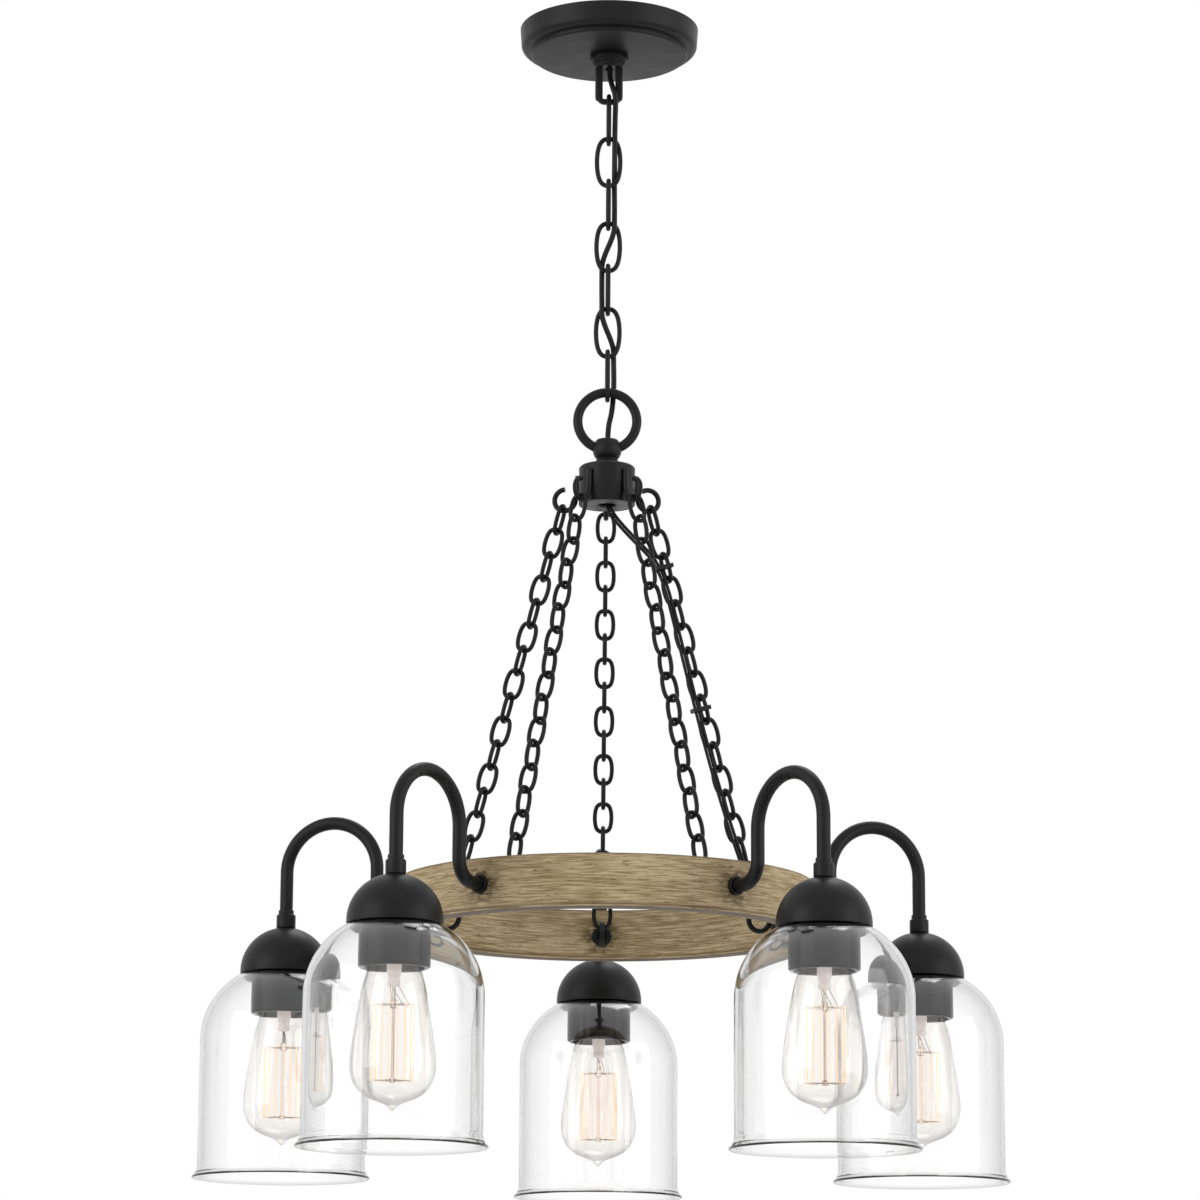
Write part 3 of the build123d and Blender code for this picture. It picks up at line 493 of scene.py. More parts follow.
def chain_tree() -> GeometryTree:
    """Tree for a run of round-wire links, each a quarter turn from the one before.

    A link stands in the XZ plane, and its butt joint is half way along one side.
    """
    tree = GeometryTree("Chain Of Links")
    tree.socket("Count", "Int", 1)
    tree.socket("Pitch", "Float", 0.0179)
    tree.socket("Straight", "Float", 0.0088)
    tree.socket("Bend Radius", "Float", 0.00615)
    tree.socket("Wire Radius", "Float", 0.0016)
    tree.socket("Joint Sweep", "Float", math.radians(359))
    tree.socket("Ovalness", "Float", 1.0)
    tree.socket("Bend Steps", "Int", 33)
    tree.socket("Wire Sides", "Int", 10)
    tree.socket("First Turn", "Float", 0.0)
    tree.socket("Place", "Vector")
    tree.socket("Turn", "Rotation")
    source = tree.open().outputs
    bend = source["Bend Radius"]
    sizes = {"Resolution": source["Bend Steps"], "Radius": bend, "Sweep Angle": source["Joint Sweep"]}
    oval = tree.add("GeometryNodeCurveArc", sizes, mode="RADIUS")
    where = tree.add("ShaderNodeSeparateXYZ", {0: tree.add("GeometryNodeInputPosition").outputs[0]})
    share = tree.math("DIVIDE", where.outputs["Y"], tree.math("MULTIPLY", bend, source["Ovalness"]))
    share = tree.math("MINIMUM", tree.math("MAXIMUM", share, -1.0), 1.0)
    easing = tree.math("SUBTRACT", 1.5, tree.math("MULTIPLY", tree.math("MULTIPLY", share, share), 0.5))
    share = tree.math("MULTIPLY", share, easing)
    lift = tree.math("MULTIPLY", share, tree.math("MULTIPLY", source["Straight"], 0.5))
    upright = tree.add(
        "ShaderNodeCombineXYZ", {"X": where.outputs["X"], "Z": tree.math("ADD", where.outputs["Y"], lift)}
    )
    shaped = tree.add(
        "GeometryNodeSetPosition", {"Geometry": oval.outputs["Curve"], "Position": upright.outputs[0]}
    )
    link = tree.swept(shaped.outputs["Geometry"], source["Wire Sides"], source["Wire Radius"])
    down = tree.add("ShaderNodeCombineXYZ", {"Z": tree.math("MULTIPLY", source["Pitch"], -1.0)})
    row = {"Count": source["Count"], "Offset": down.outputs[0]}
    line = tree.add("GeometryNodeMeshLine", row, mode="OFFSET")
    quarter = tree.math("MULTIPLY", tree.add("GeometryNodeInputIndex").outputs[0], math.pi / 2)
    chain = tree.turned(line.outputs["Mesh"], link, tree.math("ADD", quarter, source["First Turn"]))
    hung = tree.add(
        "GeometryNodeTransform",
        {"Geometry": chain, "Translation": source["Place"], "Rotation": source["Turn"]},
    )
    tree.close(hung.outputs["Geometry"])
    return tree


def wire_tree() -> GeometryTree:
    """Tree that bends a round tube along the seed's path."""
    tree = GeometryTree("Bent Tube")
    tree.socket("Radius", "Float", 0.002)
    tree.socket("Sides", "Int", 16)
    source = tree.open().outputs
    path = tree.add("GeometryNodeMeshToCurve", {"Mesh": source["Geometry"]})
    tree.close(tree.swept(path.outputs["Curve"], source["Sides"], source["Radius"]))
    return tree


def round_tree() -> GeometryTree:
    """Tree that repeats the seed round the fixture's axis, once for each light."""
    tree = GeometryTree("Round The Axis")
    tree.socket("Count", "Int", LIGHT_COUNT)
    tree.socket("First Angle", "Float", FIRST_ANGLE)
    source = tree.open().outputs
    row = {"Count": source["Count"], "Offset": (0, 0, 0)}
    points = tree.add("GeometryNodeMeshLine", row, mode="OFFSET")
    step = tree.math("DIVIDE", math.tau, source["Count"])
    angle = tree.math("MULTIPLY", tree.add("GeometryNodeInputIndex").outputs[0], step)
    turn = tree.math("ADD", angle, source["First Angle"])
    tree.close(tree.turned(points.outputs["Mesh"], source["Geometry"], turn))
    return tree


def grain_group() -> bpy.types.NodeTree:
    """Shader group for the fine unevenness of a coat or a cast skin."""
    name = "Fine Unevenness"
    if name in bpy.data.node_groups:
        return bpy.data.node_groups[name]
    group = Tree(bpy.data.node_groups.new(name, "ShaderNodeTree"))
    group.socket("Scale", "Float", 900.0)
    group.socket("Rough Low", "Float", 0.4)
    group.socket("Rough High", "Float", 0.55)
    group.socket("Roughness", "Float", out=True)
    group.socket("Height", "Float", out=True)
    group.socket("Patches", "Float", out=True)
    source = group.add("NodeGroupInput").outputs
    place = group.add("ShaderNodeTexCoord").outputs["Object"]
    fine = group.add("ShaderNodeTexNoise", {"Vector": place, "Scale": source["Scale"], "Detail": 3.0})
    broad = group.add(
        "ShaderNodeTexNoise",
        {"Vector": place, "Scale": group.math("MULTIPLY", source["Scale"], 0.04), "Detail": 4.0},
    )
    rough = group.add(
        "ShaderNodeMapRange",
        {
            "Value": broad.outputs["Fac"],
            "From Min": 0.3,
            "From Max": 0.7,
            "To Min": source["Rough Low"],
            "To Max": source["Rough High"],
        },
    )
    results = {"Roughness": rough.outputs["Result"], "Height": fine.outputs["Fac"]}
    group.add("NodeGroupOutput", {**results, "Patches": broad.outputs["Fac"]})
    return group.tree


def ring_grain_group() -> bpy.types.NodeTree:
    """Shader group for wood grain that runs round the ring."""
    name = "Grain Round The Ring"
    if name in bpy.data.node_groups:
        return bpy.data.node_groups[name]
    group = Tree(bpy.data.node_groups.new(name, "ShaderNodeTree"))
    group.socket("Round", "Float", 40.0)
    group.socket("Across", "Float", 900.0)
    group.socket("Detail", "Float", 4.0)
    group.socket("Fibre", "Float", out=True)
    source = group.add("NodeGroupInput").outputs
    place = group.add("ShaderNodeTexCoord").outputs["Object"]
    part = group.add("ShaderNodeSeparateXYZ", {0: place}).outputs
    flat = group.add("ShaderNodeCombineXYZ", {"X": part["X"], "Y": part["Y"]}).outputs[0]
    radius = group.add("ShaderNodeVectorMath", {0: flat}, operation="LENGTH").outputs["Value"]
    rise = group.math("SUBTRACT", part["Z"], radius)
    where = group.add(
        "ShaderNodeCombineXYZ",
        {
            "X": group.math("MULTIPLY", part["X"], source["Round"]),
            "Y": group.math("MULTIPLY", part["Y"], source["Round"]),
            "Z": group.math("MULTIPLY", rise, source["Across"]),
        },
    )
    noise = group.add(
        "ShaderNodeTexNoise", {"Vector": where.outputs[0], "Scale": 1.0, "Detail": source["Detail"]}
    )
    group.add("NodeGroupOutput", {"Fibre": noise.outputs["Fac"]})
    return group.tree


@dataclass(frozen=True)
class Finish:
    """A surface finish that is made once and used on many pieces."""

    name: str
    slot: Slot

    def material(self) -> Material:
        """The finish as a Blender material, made at its first use."""
        if self.name in bpy.data.materials:
            return bpy.data.materials[self.name]
        material = bpy.data.materials.new(self.name)
        material.use_nodes = True
        tree = Tree(material.node_tree)
        self.build(tree, material.node_tree.nodes["Principled BSDF"])
        return material

    def build(self, tree: Tree, surface: Node) -> None:
        """Set the surface's values and join its patterns."""
        raise NotImplementedError

    def raised(self, tree: Tree, surface: Node, height: Any, distance: float, share: float = 1.0) -> None:
        """Raise the surface by a pattern, with its height in metres."""
        relief = tree.add("ShaderNodeBump", {"Height": height, "Distance": distance, "Strength": share})
        tree.link(relief.outputs["Normal"], surface.inputs["Normal"])

    def tinted(self, tree: Tree, surface: Node, mask: Any, dark: Colour, light: Colour) -> None:
        """Colour the surface between two tones by a mask."""
        mix = tree.add("ShaderNodeMix", {"Factor": mask}, data_type="RGBA")
        mix.inputs[6].default_value = (*dark, 1.0)
        mix.inputs[7].default_value = (*light, 1.0)
        tree.link(mix.outputs[2], surface.inputs["Base Color"])


@dataclass(frozen=True)
class Coat(Finish):
    """Paint, plastic or bare metal with an even colour and a fine skin, and a painted glow where one is set,
    for a part that shines though it is no lit lamp.
    """

    dark: Colour = (0.0035, 0.0035, 0.0037)
    light: Colour = (0.0070, 0.0070, 0.0073)
    metallic: float = 0.0
    scale: float = 1400.0
    rough: tuple[float, float] = (0.38, 0.46)
    bump: float = 0.00002
    specular: float = 0.2
    glow: Colour = (1.0, 1.0, 1.0)
    glow_strength: float = 0.0

    def build(self, tree: Tree, surface: Node) -> None:
        """Set the surface's values and join its patterns."""
        surface.inputs["Metallic"].default_value = self.metallic
        surface.inputs["Specular IOR Level"].default_value = self.specular
        # Painted light: the glow makes a part shine though it is no lit lamp.
        surface.inputs["Emission Color"].default_value = (*self.glow, 1.0)
        surface.inputs["Emission Strength"].default_value = self.glow_strength
        patches = self.uneven(tree, surface)
        self.tinted(tree, surface, patches, self.dark, self.light)

    def uneven(self, tree: Tree, surface: Node) -> Any:
        """Join the fine unevenness to roughness and bump, and give its broad patches."""
        values = {"Scale": self.scale, "Rough Low": self.rough[0], "Rough High": self.rough[1]}
        grain = tree.add("ShaderNodeGroup", values, node_tree=grain_group())
        tree.link(grain.outputs["Roughness"], surface.inputs["Roughness"])
        self.raised(tree, surface, grain.outputs["Height"], self.bump)
        return grain.outputs["Patches"]


@dataclass(frozen=True)
class WeatheredOak(Finish):
    """Limed wood with dark open grain, brown edges and darker brown round the holes."""

    pale: Colour = (0.50, 0.385, 0.225)
    tan: Colour = (0.225, 0.155, 0.066)
    brown: Colour = (0.085, 0.054, 0.018)

    def fibres(self, tree: Tree, along: float, across: float, detail: float) -> Any:
        """Grain of one size, as a value from 0 to 1."""
        values = {"Round": along, "Across": across, "Detail": detail}
        grain = tree.add("ShaderNodeGroup", values, node_tree=ring_grain_group())
        return grain.outputs["Fibre"]

    def ranged(self, tree: Tree, value: Any, low: float, high: float, least: float, most: float) -> Any:
        """A value spread from one range to another, and kept inside it."""
        spread = tree.add(
            "ShaderNodeMapRange",
            {"Value": value, "From Min": low, "From Max": high, "To Min": least, "To Max": most},
        )
        return spread.outputs["Result"]

    def build(self, tree: Tree, surface: Node) -> None:
        """Set the surface's values and join its patterns."""
        fine = self.fibres(tree, 62.0, 1450.0, 5.0)
        long = self.fibres(tree, 20.0, 520.0, 4.0)
        broad = self.fibres(tree, 13.0, 30.0, 2.0)
        tone = tree.math("ADD", tree.math("MULTIPLY", fine, 0.6), tree.math("MULTIPLY", long, 0.22))
        tone = tree.math("ADD", tone, tree.math("MULTIPLY", broad, 0.18))
        self.tinted(tree, surface, self.ranged(tree, tone, 0.42, 0.58, 0.0, 1.0), self.tan, self.pale)
        base = surface.inputs["Base Color"].links[0].from_socket
        pits = self.ranged(tree, self.fibres(tree, 130.0, 1100.0, 3.0), 0.61, 0.70, 0.0, 0.8)
        mask = tree.math("MAXIMUM", pits, self.stains(tree, fine, long), clamp=True)
        mix = tree.add("ShaderNodeMix", {"Factor": mask}, data_type="RGBA")
        tree.link(base, mix.inputs[6])
        mix.inputs[7].default_value = (*self.brown, 1.0)
        tree.link(mix.outputs[2], surface.inputs["Base Color"])
        self.raised(tree, surface, fine, 0.0002, 0.8)
        rough = self.ranged(tree, fine, 0.3, 0.7, 0.8, 0.6)
        tree.link(rough, surface.inputs["Roughness"])

    def stains(self, tree: Tree, fine: Any, long: Any) -> Any:
        """Brown at the top and bottom edges and in blotches round the holes."""
        place = tree.add("ShaderNodeTexCoord").outputs["Object"]
        z = tree.add("ShaderNodeSeparateXYZ", {0: place}).outputs["Z"]
        under = self.ranged(tree, z, RING_BOTTOM + 0.0034, RING_BOTTOM + 0.0016, 0.0, 0.85)
        lip = self.ranged(tree, z, RING_BOTTOM + 0.0012, RING_BOTTOM + 0.0008, 1.0, 0.1)
        over = self.ranged(tree, z, RING_TOP - 0.0014, RING_TOP - 0.0004, 0.0, 0.8)
        edges = tree.math("MAXIMUM", tree.math("MULTIPLY", under, lip), over)
        edges = tree.math("MULTIPLY", edges, self.ranged(tree, long, 0.3, 0.55, 0.45, 1.0))
        hole = tree.add("ShaderNodeAttribute", attribute_name="hole_stain").outputs["Fac"]
        blotch = self.ranged(tree, self.fibres(tree, 170.0, 420.0, 4.0), 0.40, 0.60, 0.15, 1.35)
        return tree.math("MAXIMUM", edges, tree.math("MULTIPLY", hole, blotch))


@dataclass(frozen=True)
class Glass(Finish):
    """Clear glass that greys towards its silhouettes and along its lip. The grey at the silhouettes is painted
    reflection of a darker surround; the grey lip band is painted shade for the rim's inner reflections, and
    partly the cut rim's own darker tone.
    """

    tint: Colour = (1.0, 1.0, 1.0)
    # The edge tint is mixed in towards the silhouettes: painted reflection of a darker surround.
    edge_tint: Colour = (0.20, 0.205, 0.205)
    edge_power: float = 2.2
    # The lip settings lay a grey band along the rim: painted shade for its inner reflections, and partly the
    # cut rim's own darker tone.
    lip_z: float = -9.0
    lip_depth: float = 0.0034
    lip_grey: float = 0.45

    def build(self, tree: Tree, surface: Node) -> None:
        """Set the surface's values and join its patterns."""
        surface.inputs["Roughness"].default_value = 0.0
        surface.inputs["IOR"].default_value = 1.5
        surface.inputs["Transmission Weight"].default_value = 1.0
        # Painted reflection: the colour greys towards the silhouettes, as a darker surround mirrored at
        # grazing angles would make it.
        facing = tree.add("ShaderNodeLayerWeight").outputs["Facing"]
        place = tree.add("ShaderNodeTexCoord").outputs["Object"]
        z = tree.add("ShaderNodeSeparateXYZ", {0: place}).outputs["Z"]
        # Painted shade along the lip, for the lines that reflections inside the rim draw, and partly the cut
        # rim's own darker tone.
        rise = tree.math("DIVIDE", tree.math("SUBTRACT", z, self.lip_z), self.lip_depth)
        lip = tree.math("MULTIPLY", tree.math("SUBTRACT", 1.0, rise, clamp=True), self.lip_grey)
        grey = tree.math("MAXIMUM", tree.math("POWER", facing, self.edge_power), lip)
        self.tinted(tree, surface, grey, self.tint, self.edge_tint)
        ripple = tree.add("ShaderNodeTexNoise", {"Vector": place, "Scale": 18.0, "Detail": 1.0})
        self.raised(tree, surface, ripple.outputs["Fac"], 0.0001)


BLACK_METAL = Coat("Matte Black Powder Coat", Slot.BLACK_METAL)
GLOSS_BLACK = Coat(
    "Satin Black Socket Ring", Slot.BLACK_METAL, rough=(0.14, 0.2), scale=300.0, bump=0.000004, specular=0.12
)
ZINC = Coat(
    "Zinc Plated Steel",
    Slot.ZINC_STEEL,
    dark=(0.42, 0.42, 0.43),
    light=(0.58, 0.58, 0.60),
    specular=0.5,
    metallic=1.0,
    rough=(0.28, 0.42),
)
PLATE_GREY = Coat(
    "Grey Satin Plate",
    Slot.ZINC_STEEL,
    dark=(0.10, 0.10, 0.10),
    light=(0.14, 0.14, 0.14),
    metallic=0.4,
    rough=(0.4, 0.5),
)
CORD_JACKET = Coat("Black Cord Jacket", Slot.BLACK_CORD, scale=800.0, rough=(0.34, 0.42), bump=0.000004)
BLACK_PLASTIC = Coat("Moulded Black Plastic", Slot.BLACK_PLASTIC, rough=(0.3, 0.42))
COPPER = Coat(
    "Copper Screw Lining",
    Slot.COPPER,
    dark=(0.62, 0.33, 0.22),
    light=(0.80, 0.46, 0.33),
    metallic=1.0,
    rough=(0.25, 0.4),
)
BRASS = Coat(
    "Brass Bulb Base",
    Slot.BRASS,
    dark=(0.55, 0.40, 0.19),
    light=(0.74, 0.57, 0.31),
    metallic=1.0,
    rough=(0.22, 0.36),
)
# The filament is unlit. Its glow is painted light, which brightens the thin threads to pale peach.
FILAMENT = Coat(
    "Filament Thread",
    Slot.BRASS,
    dark=(0.86, 0.52, 0.30),
    light=(0.96, 0.70, 0.46),
    rough=(0.4, 0.5),
    bump=0.00001,
    glow=(1.0, 0.66, 0.40),
    glow_strength=0.7,
)
LEAD_WIRE = Coat(
    "Dull Lead Wire", Slot.BRASS, dark=(0.16, 0.12, 0.10), light=(0.30, 0.23, 0.19), metallic=1.0, specular=0.5
)
# The stem's glow is painted light. It stands in for the light that reaches the stem through the bulb and shade
# glass.
PRESSED_GLASS = Coat(
    "Pressed Lamp Stem",
    Slot.BULB_GLASS,
    dark=(0.42, 0.30, 0.25),
    light=(0.90, 0.86, 0.83),
    scale=9000.0,
    rough=(0.08, 0.2),
    specular=0.6,
    glow=(1.0, 0.90, 0.85),
    glow_strength=0.35,
)
OAK = WeatheredOak("Weathered Oak", Slot.WEATHERED_WOOD)
OAK_UNDERSIDE = WeatheredOak(
    "Grey Brown Underside",
    Slot.DARK_WOOD,
    pale=(0.20, 0.155, 0.115),
    tan=(0.12, 0.09, 0.065),
    brown=(0.04, 0.027, 0.018),
)
# The edge tint of these three glasses is painted reflection. It darkens each glass towards its silhouettes.
ROD_GLASS = Glass(
    "Amber Rod Glass", Slot.BULB_GLASS, tint=(1.0, 0.90, 0.82), edge_tint=(0.42, 0.20, 0.12), edge_power=1.4
)
SHADE_GLASS = Glass("Clear Shade Glass", Slot.CLEAR_GLASS, lip_z=RIM_Z)
BULB_GLASS = Glass(
    "Bulb Glass", Slot.BULB_GLASS, tint=(1.0, 0.985, 0.962), edge_tint=(0.08, 0.08, 0.06), edge_power=2.6
)


@dataclass
class CeilingMount:
    """Crossbar, canopy, its collar and the loop that carries the chain."""

    canopy_r: float = 0.0663
    canopy_drop: float = 0.0165
    draft: float = 0.0008
    wall: float = 0.0012
    edge_r: float = 0.0045
    disc_r: float = 0.058
    face_drop: float = 0.0203
    disc_edge_r: float = 0.0015
    neck_r: float = 0.011
    neck_top: float = 0.009
    neck_bottom: float = 0.030
    collar_wide_r: float = 0.01415
    collar_wide_h: float = 0.004
    collar_slim_r: float = 0.0123
    collar_slim_h: float = 0.0022
    loop_half: float = 0.0103
    window_half: float = 0.0046
    loop_depth: float = 0.006
    window_bottom: float = 0.0538
    bar: float = 0.004

    def canopy(self) -> None:
        """The pan against the ceiling, open at the top."""
        edge = self.canopy_r - self.draft
        outer = [(self.canopy_r, 0.0)]
        outer += arc((edge - self.edge_r, -self.canopy_drop + self.edge_r), self.edge_r, 0, -90, 8)
        outer += [(self.disc_r + 0.0006, -self.canopy_drop), (self.disc_r, -self.canopy_drop - 0.0004)]
        step = (self.disc_r - self.disc_edge_r, -self.face_drop + self.disc_edge_r)
        outer += arc(step, self.disc_edge_r, 0, -90, 6)
        outer.append((self.neck_r + 0.0006, -self.face_drop))
        inner = [(r - self.wall if r > self.disc_r * 0.9 else r, z + self.wall) for r, z in outer[1:]]
        outline = outer + inner[::-1] + [(self.canopy_r - self.wall, 0.0)]
        fit_turned("canopy_pan", outline, "canopy_drop", BLACK_METAL, "canopy", sides=160)

    def collar(self) -> None:
        """Stepped ring nut with turned ribs."""
        bore = self.neck_r + 0.0001
        wide, slim = self.collar_wide_r, self.collar_slim_r
        step = -self.collar_wide_h
        end = step - self.collar_slim_h
        outline = [(bore, 0.0), (wide, 0.0), (wide, step), (slim + 0.0003, step)]
        outline += [(slim, step - 0.0004), (slim, end), (bore, end)]
        piece = lathe("collar_nut", eased(outline, 0.0004), 96)
        moved(piece, Matrix.Translation((0, 0, -self.face_drop)))
        fit(piece, "canopy_drop", BLACK_METAL, ["canopy_collar"])

    def loop(self) -> None:
        """Ribbed neck on the nipple with a flat open loop under it."""
        neck = [(0.0032, -self.neck_top), (self.neck_r, -self.neck_top)]
        end = -self.neck_bottom
        neck += [(self.neck_r, end + 0.0022), (0.0104, end + 0.0018)]
        neck += [(0.0104, end + 0.0004), (0.0100, end), (0.0032, end)]
        collar = lathe("loop_neck", eased(neck, 0.0003), 72)
        mid = (self.loop_half + self.window_half) / 2
        mid_side = (self.loop_half - self.window_half) / 2
        low = -self.window_bottom - self.bar / 2
        bend = 0.0042
        path = [(-mid, -self.neck_bottom + 0.001), (-mid, low + bend)]
        path += arc((-mid + bend, low + bend), bend, 180, 270, 8)[1:]
        path += arc((mid - bend, low + bend), bend, 270, 360, 8)
        path += [(mid, -self.neck_bottom + 0.001)]
        sides = 20
        points = []
        for k, (x, z) in enumerate(path):
            before = Vector(path[max(k - 1, 0)])
            after = Vector(path[min(k + 1, len(path) - 1)])
            along = (after - before).normalized()
            upright = abs(along.x) < 0.5
            half = mid_side if upright else self.bar / 2
            squareness = 0.55 if upright else 0.78
            for i in range(sides):
                angle = math.tau * i / sides
                cos, sin = math.cos(angle), math.sin(angle)
                out = half * math.copysign(abs(cos) ** squareness, cos)
                deep = self.loop_depth / 2 * math.copysign(abs(sin) ** squareness, sin)
                points.append((x + along.y * out, deep, z - along.x * out))
        ends = [list(range(sides)), list(range(len(points) - sides, len(points)))]
        bow = piece_from("loop_bow", points, wrapped(len(path), sides) + ends)
        piece = joined("chain_loop", [smoothed(collar), smoothed(bow)])
        fit(piece, "ceiling_mount", BLACK_METAL, ["canopy_loop"])

    def hardware(self) -> None:
        """Finish the steel pieces above the canopy."""
        for name in ("crossbar", "threaded_nipple", "nipple_locknuts"):
            dress_node(name, ZINC)

    def build(self) -> None:
        """Make every piece at the ceiling."""
        self.canopy()
        self.collar()
        self.loop()
        self.hardware()


def dress_node(name: str, finish: Finish) -> None:
    """Give a carried-over CAD node its finish."""
    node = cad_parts[name]
    node.data.materials.clear()
    node.data.materials.append(finish.material())


@dataclass
class Chains:
    """The upper chain, one piece for each moving link, and the five lower chains."""

    upper_count: int = 7
    upper_length: float = 0.040
    upper_width: float = 0.0208
    upper_wire: float = 0.0035
    lower_count: int = 17
    lower_length: float = 0.0243
    lower_width: float = 0.0155
    lower_wire: float = 0.0032
    hook_inset: float = 0.0045
    joint_gap: float = 0.00006

    def sizes(self, length: float, width: float, wire: float) -> dict[str, float]:
        """A link's sizes as the tree wants them."""
        bend = (width - wire) / 2
        return {
            "Straight": length - width,
            "Bend_Radius": bend,
            "Wire_Radius": wire / 2,
            "Joint_Sweep": math.tau - self.joint_gap / (bend * 3),
        }

    def upper(self, tree: GeometryTree) -> None:
        """Seven links, odd ones edge-on to the room."""
        for number in range(1, self.upper_count + 1):
            low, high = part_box(f"chain_link_{number}")
            seed = wire_seed(f"upper_link_{number}", [(0, 0, 0)])
            piece = tree.grow(
                seed,
                BLACK_METAL.material(),
                Count=1,
                Bend_Steps=49,
                Wire_Sides=14,
                Ovalness=1.0,
                First_Turn=math.pi / 2 * (number % 2),
                Place=[0.0, 0.0, (low.z + high.z) / 2],
                **self.sizes(self.upper_length, self.upper_width, self.upper_wire),
            )
            fit(piece, f"link_{number}", BLACK_METAL, [f"chain_link_{number}"])

    def lower(self, tree: GeometryTree, light: Light) -> None:
        """The chain from a hub hook to a ring eye."""
        reach = self.hook_inset + (self.lower_length - self.lower_wire) / 2
        tilt = CHAIN_TILT
        first = light.place(HOOK_S + reach * math.sin(tilt), HOOK_Z - reach * math.cos(tilt))
        piece = tree.grow(
            wire_seed(f"side_chain_{light.label}", [(0, 0, 0)]),
            BLACK_METAL.material(),
            Count=self.lower_count,
            Pitch=self.lower_length - 2 * self.lower_wire,
            Ovalness=0.8,
            First_Turn=math.pi / 2,
            Place=list(first),
            Turn=[0.0, -CHAIN_TILT, light.angle],
            **self.sizes(self.lower_length, self.lower_width, self.lower_wire),
        )
        fit(piece, FIXTURE, BLACK_METAL, [f"lower_chain_{light.label}"])

    def build(self) -> None:
        """Make every chain."""
        tree = chain_tree()
        self.upper(tree)
        for light in Light:
            self.lower(tree, light)


@dataclass
class Cords:
    """The supply cord through the upper chain and the two wires down one lower chain."""

    cord_r: float = 0.002
    wire_r: float = 0.0012
    wire_spacing: float = 0.0026
    side: float = 4.45
    cross: float = 5.2
    first_link: float = -70.1
    link_pitch: float = 32.8
    link_reach: float = 18.25
    first_turn: float = -0.0558
    cord_end: float = -0.3447
    lap: float = 0.0015

    def link_z(self, number: int) -> float:
        """Height of an upper link's middle, in millimetres."""
        return self.first_link - (number - 1) * self.link_pitch

    def route(self) -> list[Place]:
        """The supply cord's route, in millimetres."""
        points = [(0, 0, 0), (0, 0, -34.0), (2.2, -5.9, -45.5), (5.05, -6.4, -53.3), (4.65, -4.2, -70.1)]
        weave = self.link_pitch * 0.3
        for number, into, away in ((2, 1, 1), (4, 1, -1), (6, -1, 1)):
            middle = self.link_z(number)
            points.append((into * self.side, -self.cross, middle + self.link_reach))
            points.append((into * self.side, -self.cross * 0.48, middle + weave))
            points.append((away * self.side, self.cross * 0.48, middle - weave))
            points.append((away * self.side, self.cross, middle - self.link_reach))
            if number < 6:
                points.append((away * 4.55, -0.2, self.link_z(number + 1)))
        points += [(4.75, 4.4, -266.9), (4.75, 6.5, -277.15), (3.4, 6.1, -294.15)]
        points += [(0, 6.0, -306.3), (0, 6.0, -344.7)]
        return points

    def supply(self) -> None:
        """The cord in one stretch for each body, lapped where the next body turns."""
        line = flowing("cord_guide", [[c / 1000 for c in p] for p in self.route()])
        bodies = ["ceiling_mount", *[f"link_{n}" for n in range(1, 8)], FIXTURE]
        turns = [self.link_z(n) / 1000 - self.link_reach / 1000 for n in range(1, 8)]
        cuts = [0.0, self.first_turn, *turns, self.cord_end]
        for k, body in enumerate(bodies):
            high = cuts[k] + (self.lap if k else 0.0)
            low = cuts[k + 1]
            part = [p for p in line if low - 1e-6 <= p.z <= high + 1e-6]
            part = self.trimmed(line, part, high, low)
            piece = smoothed(tube(f"ceiling_cord_{k + 1}", part, self.cord_r), 60)
            fit(piece, body, CORD_JACKET, ["supply_cord"], smooth=False)

    def trimmed(self, line: Sequence[Vector], part: list[Vector], high: float, low: float) -> list[Vector]:
        """The stretch of a line between two heights, with its cut ends added."""
        for a, b in zip(line, line[1:]):
            for z, at_start in ((high, True), (low, False)):
                if a.z > z > b.z:
                    cut = a.lerp(b, (a.z - z) / (a.z - b.z))
                    part = [cut, *part] if at_start else [*part, cut]
        tidy = [part[0]]
        for point in part[1:]:
            if (point - tidy[-1]).length > 1e-5:
                tidy.append(point)
        return tidy

    def wires(self) -> None:
        """Two wires side by side, held to the chain and led into the ring."""
        route = [
            (1.24, 3.8, -354.7),
            (1.24, 3.8, -359.7),
            (3.74, 2.3, -369.7),
            (18.0, 0.0, -385.7),
            (40.94, -3.5, -407.66),
            (54.12, -3.8, -457.66),
            (68.35, -3.5, -511.0),
            (81.5, -4.5, -559.04),
            (95.5, -7.1, -604.96),
            (106.0, -9.2, -634.79),
            (121.0, -10.0, -652.79),
            (139.0, -10.0, -652.79),
        ]
        pieces = []
        for way in (-0.5, 0.5):
            shift = way * self.wire_spacing * 1000
            places = []
            for k, (s, side, z) in enumerate(route):
                before, after = route[max(k - 1, 0)], route[min(k + 1, len(route) - 1)]
                along = Vector((after[0] - before[0], after[2] - before[2])).normalized()
                place = Light.RIGHT.place(s - along.y * shift, z + along.x * shift, side)
                places.append(place / 1000)
            line = flowing("wire_guide", places)
            pieces.append(smoothed(tube("feed_wire", line, self.wire_r, 10), 60))
        fit(joined("feed_wires", pieces), FIXTURE, CORD_JACKET, ["lower_wires"])

    def build(self) -> None:
        """Make the cord, the wires and what holds them."""
        self.supply()
        self.wires()
        for name in ("cable_ties", "wire_bush", "wire_splice"):
            dress_node(name, BLACK_PLASTIC)


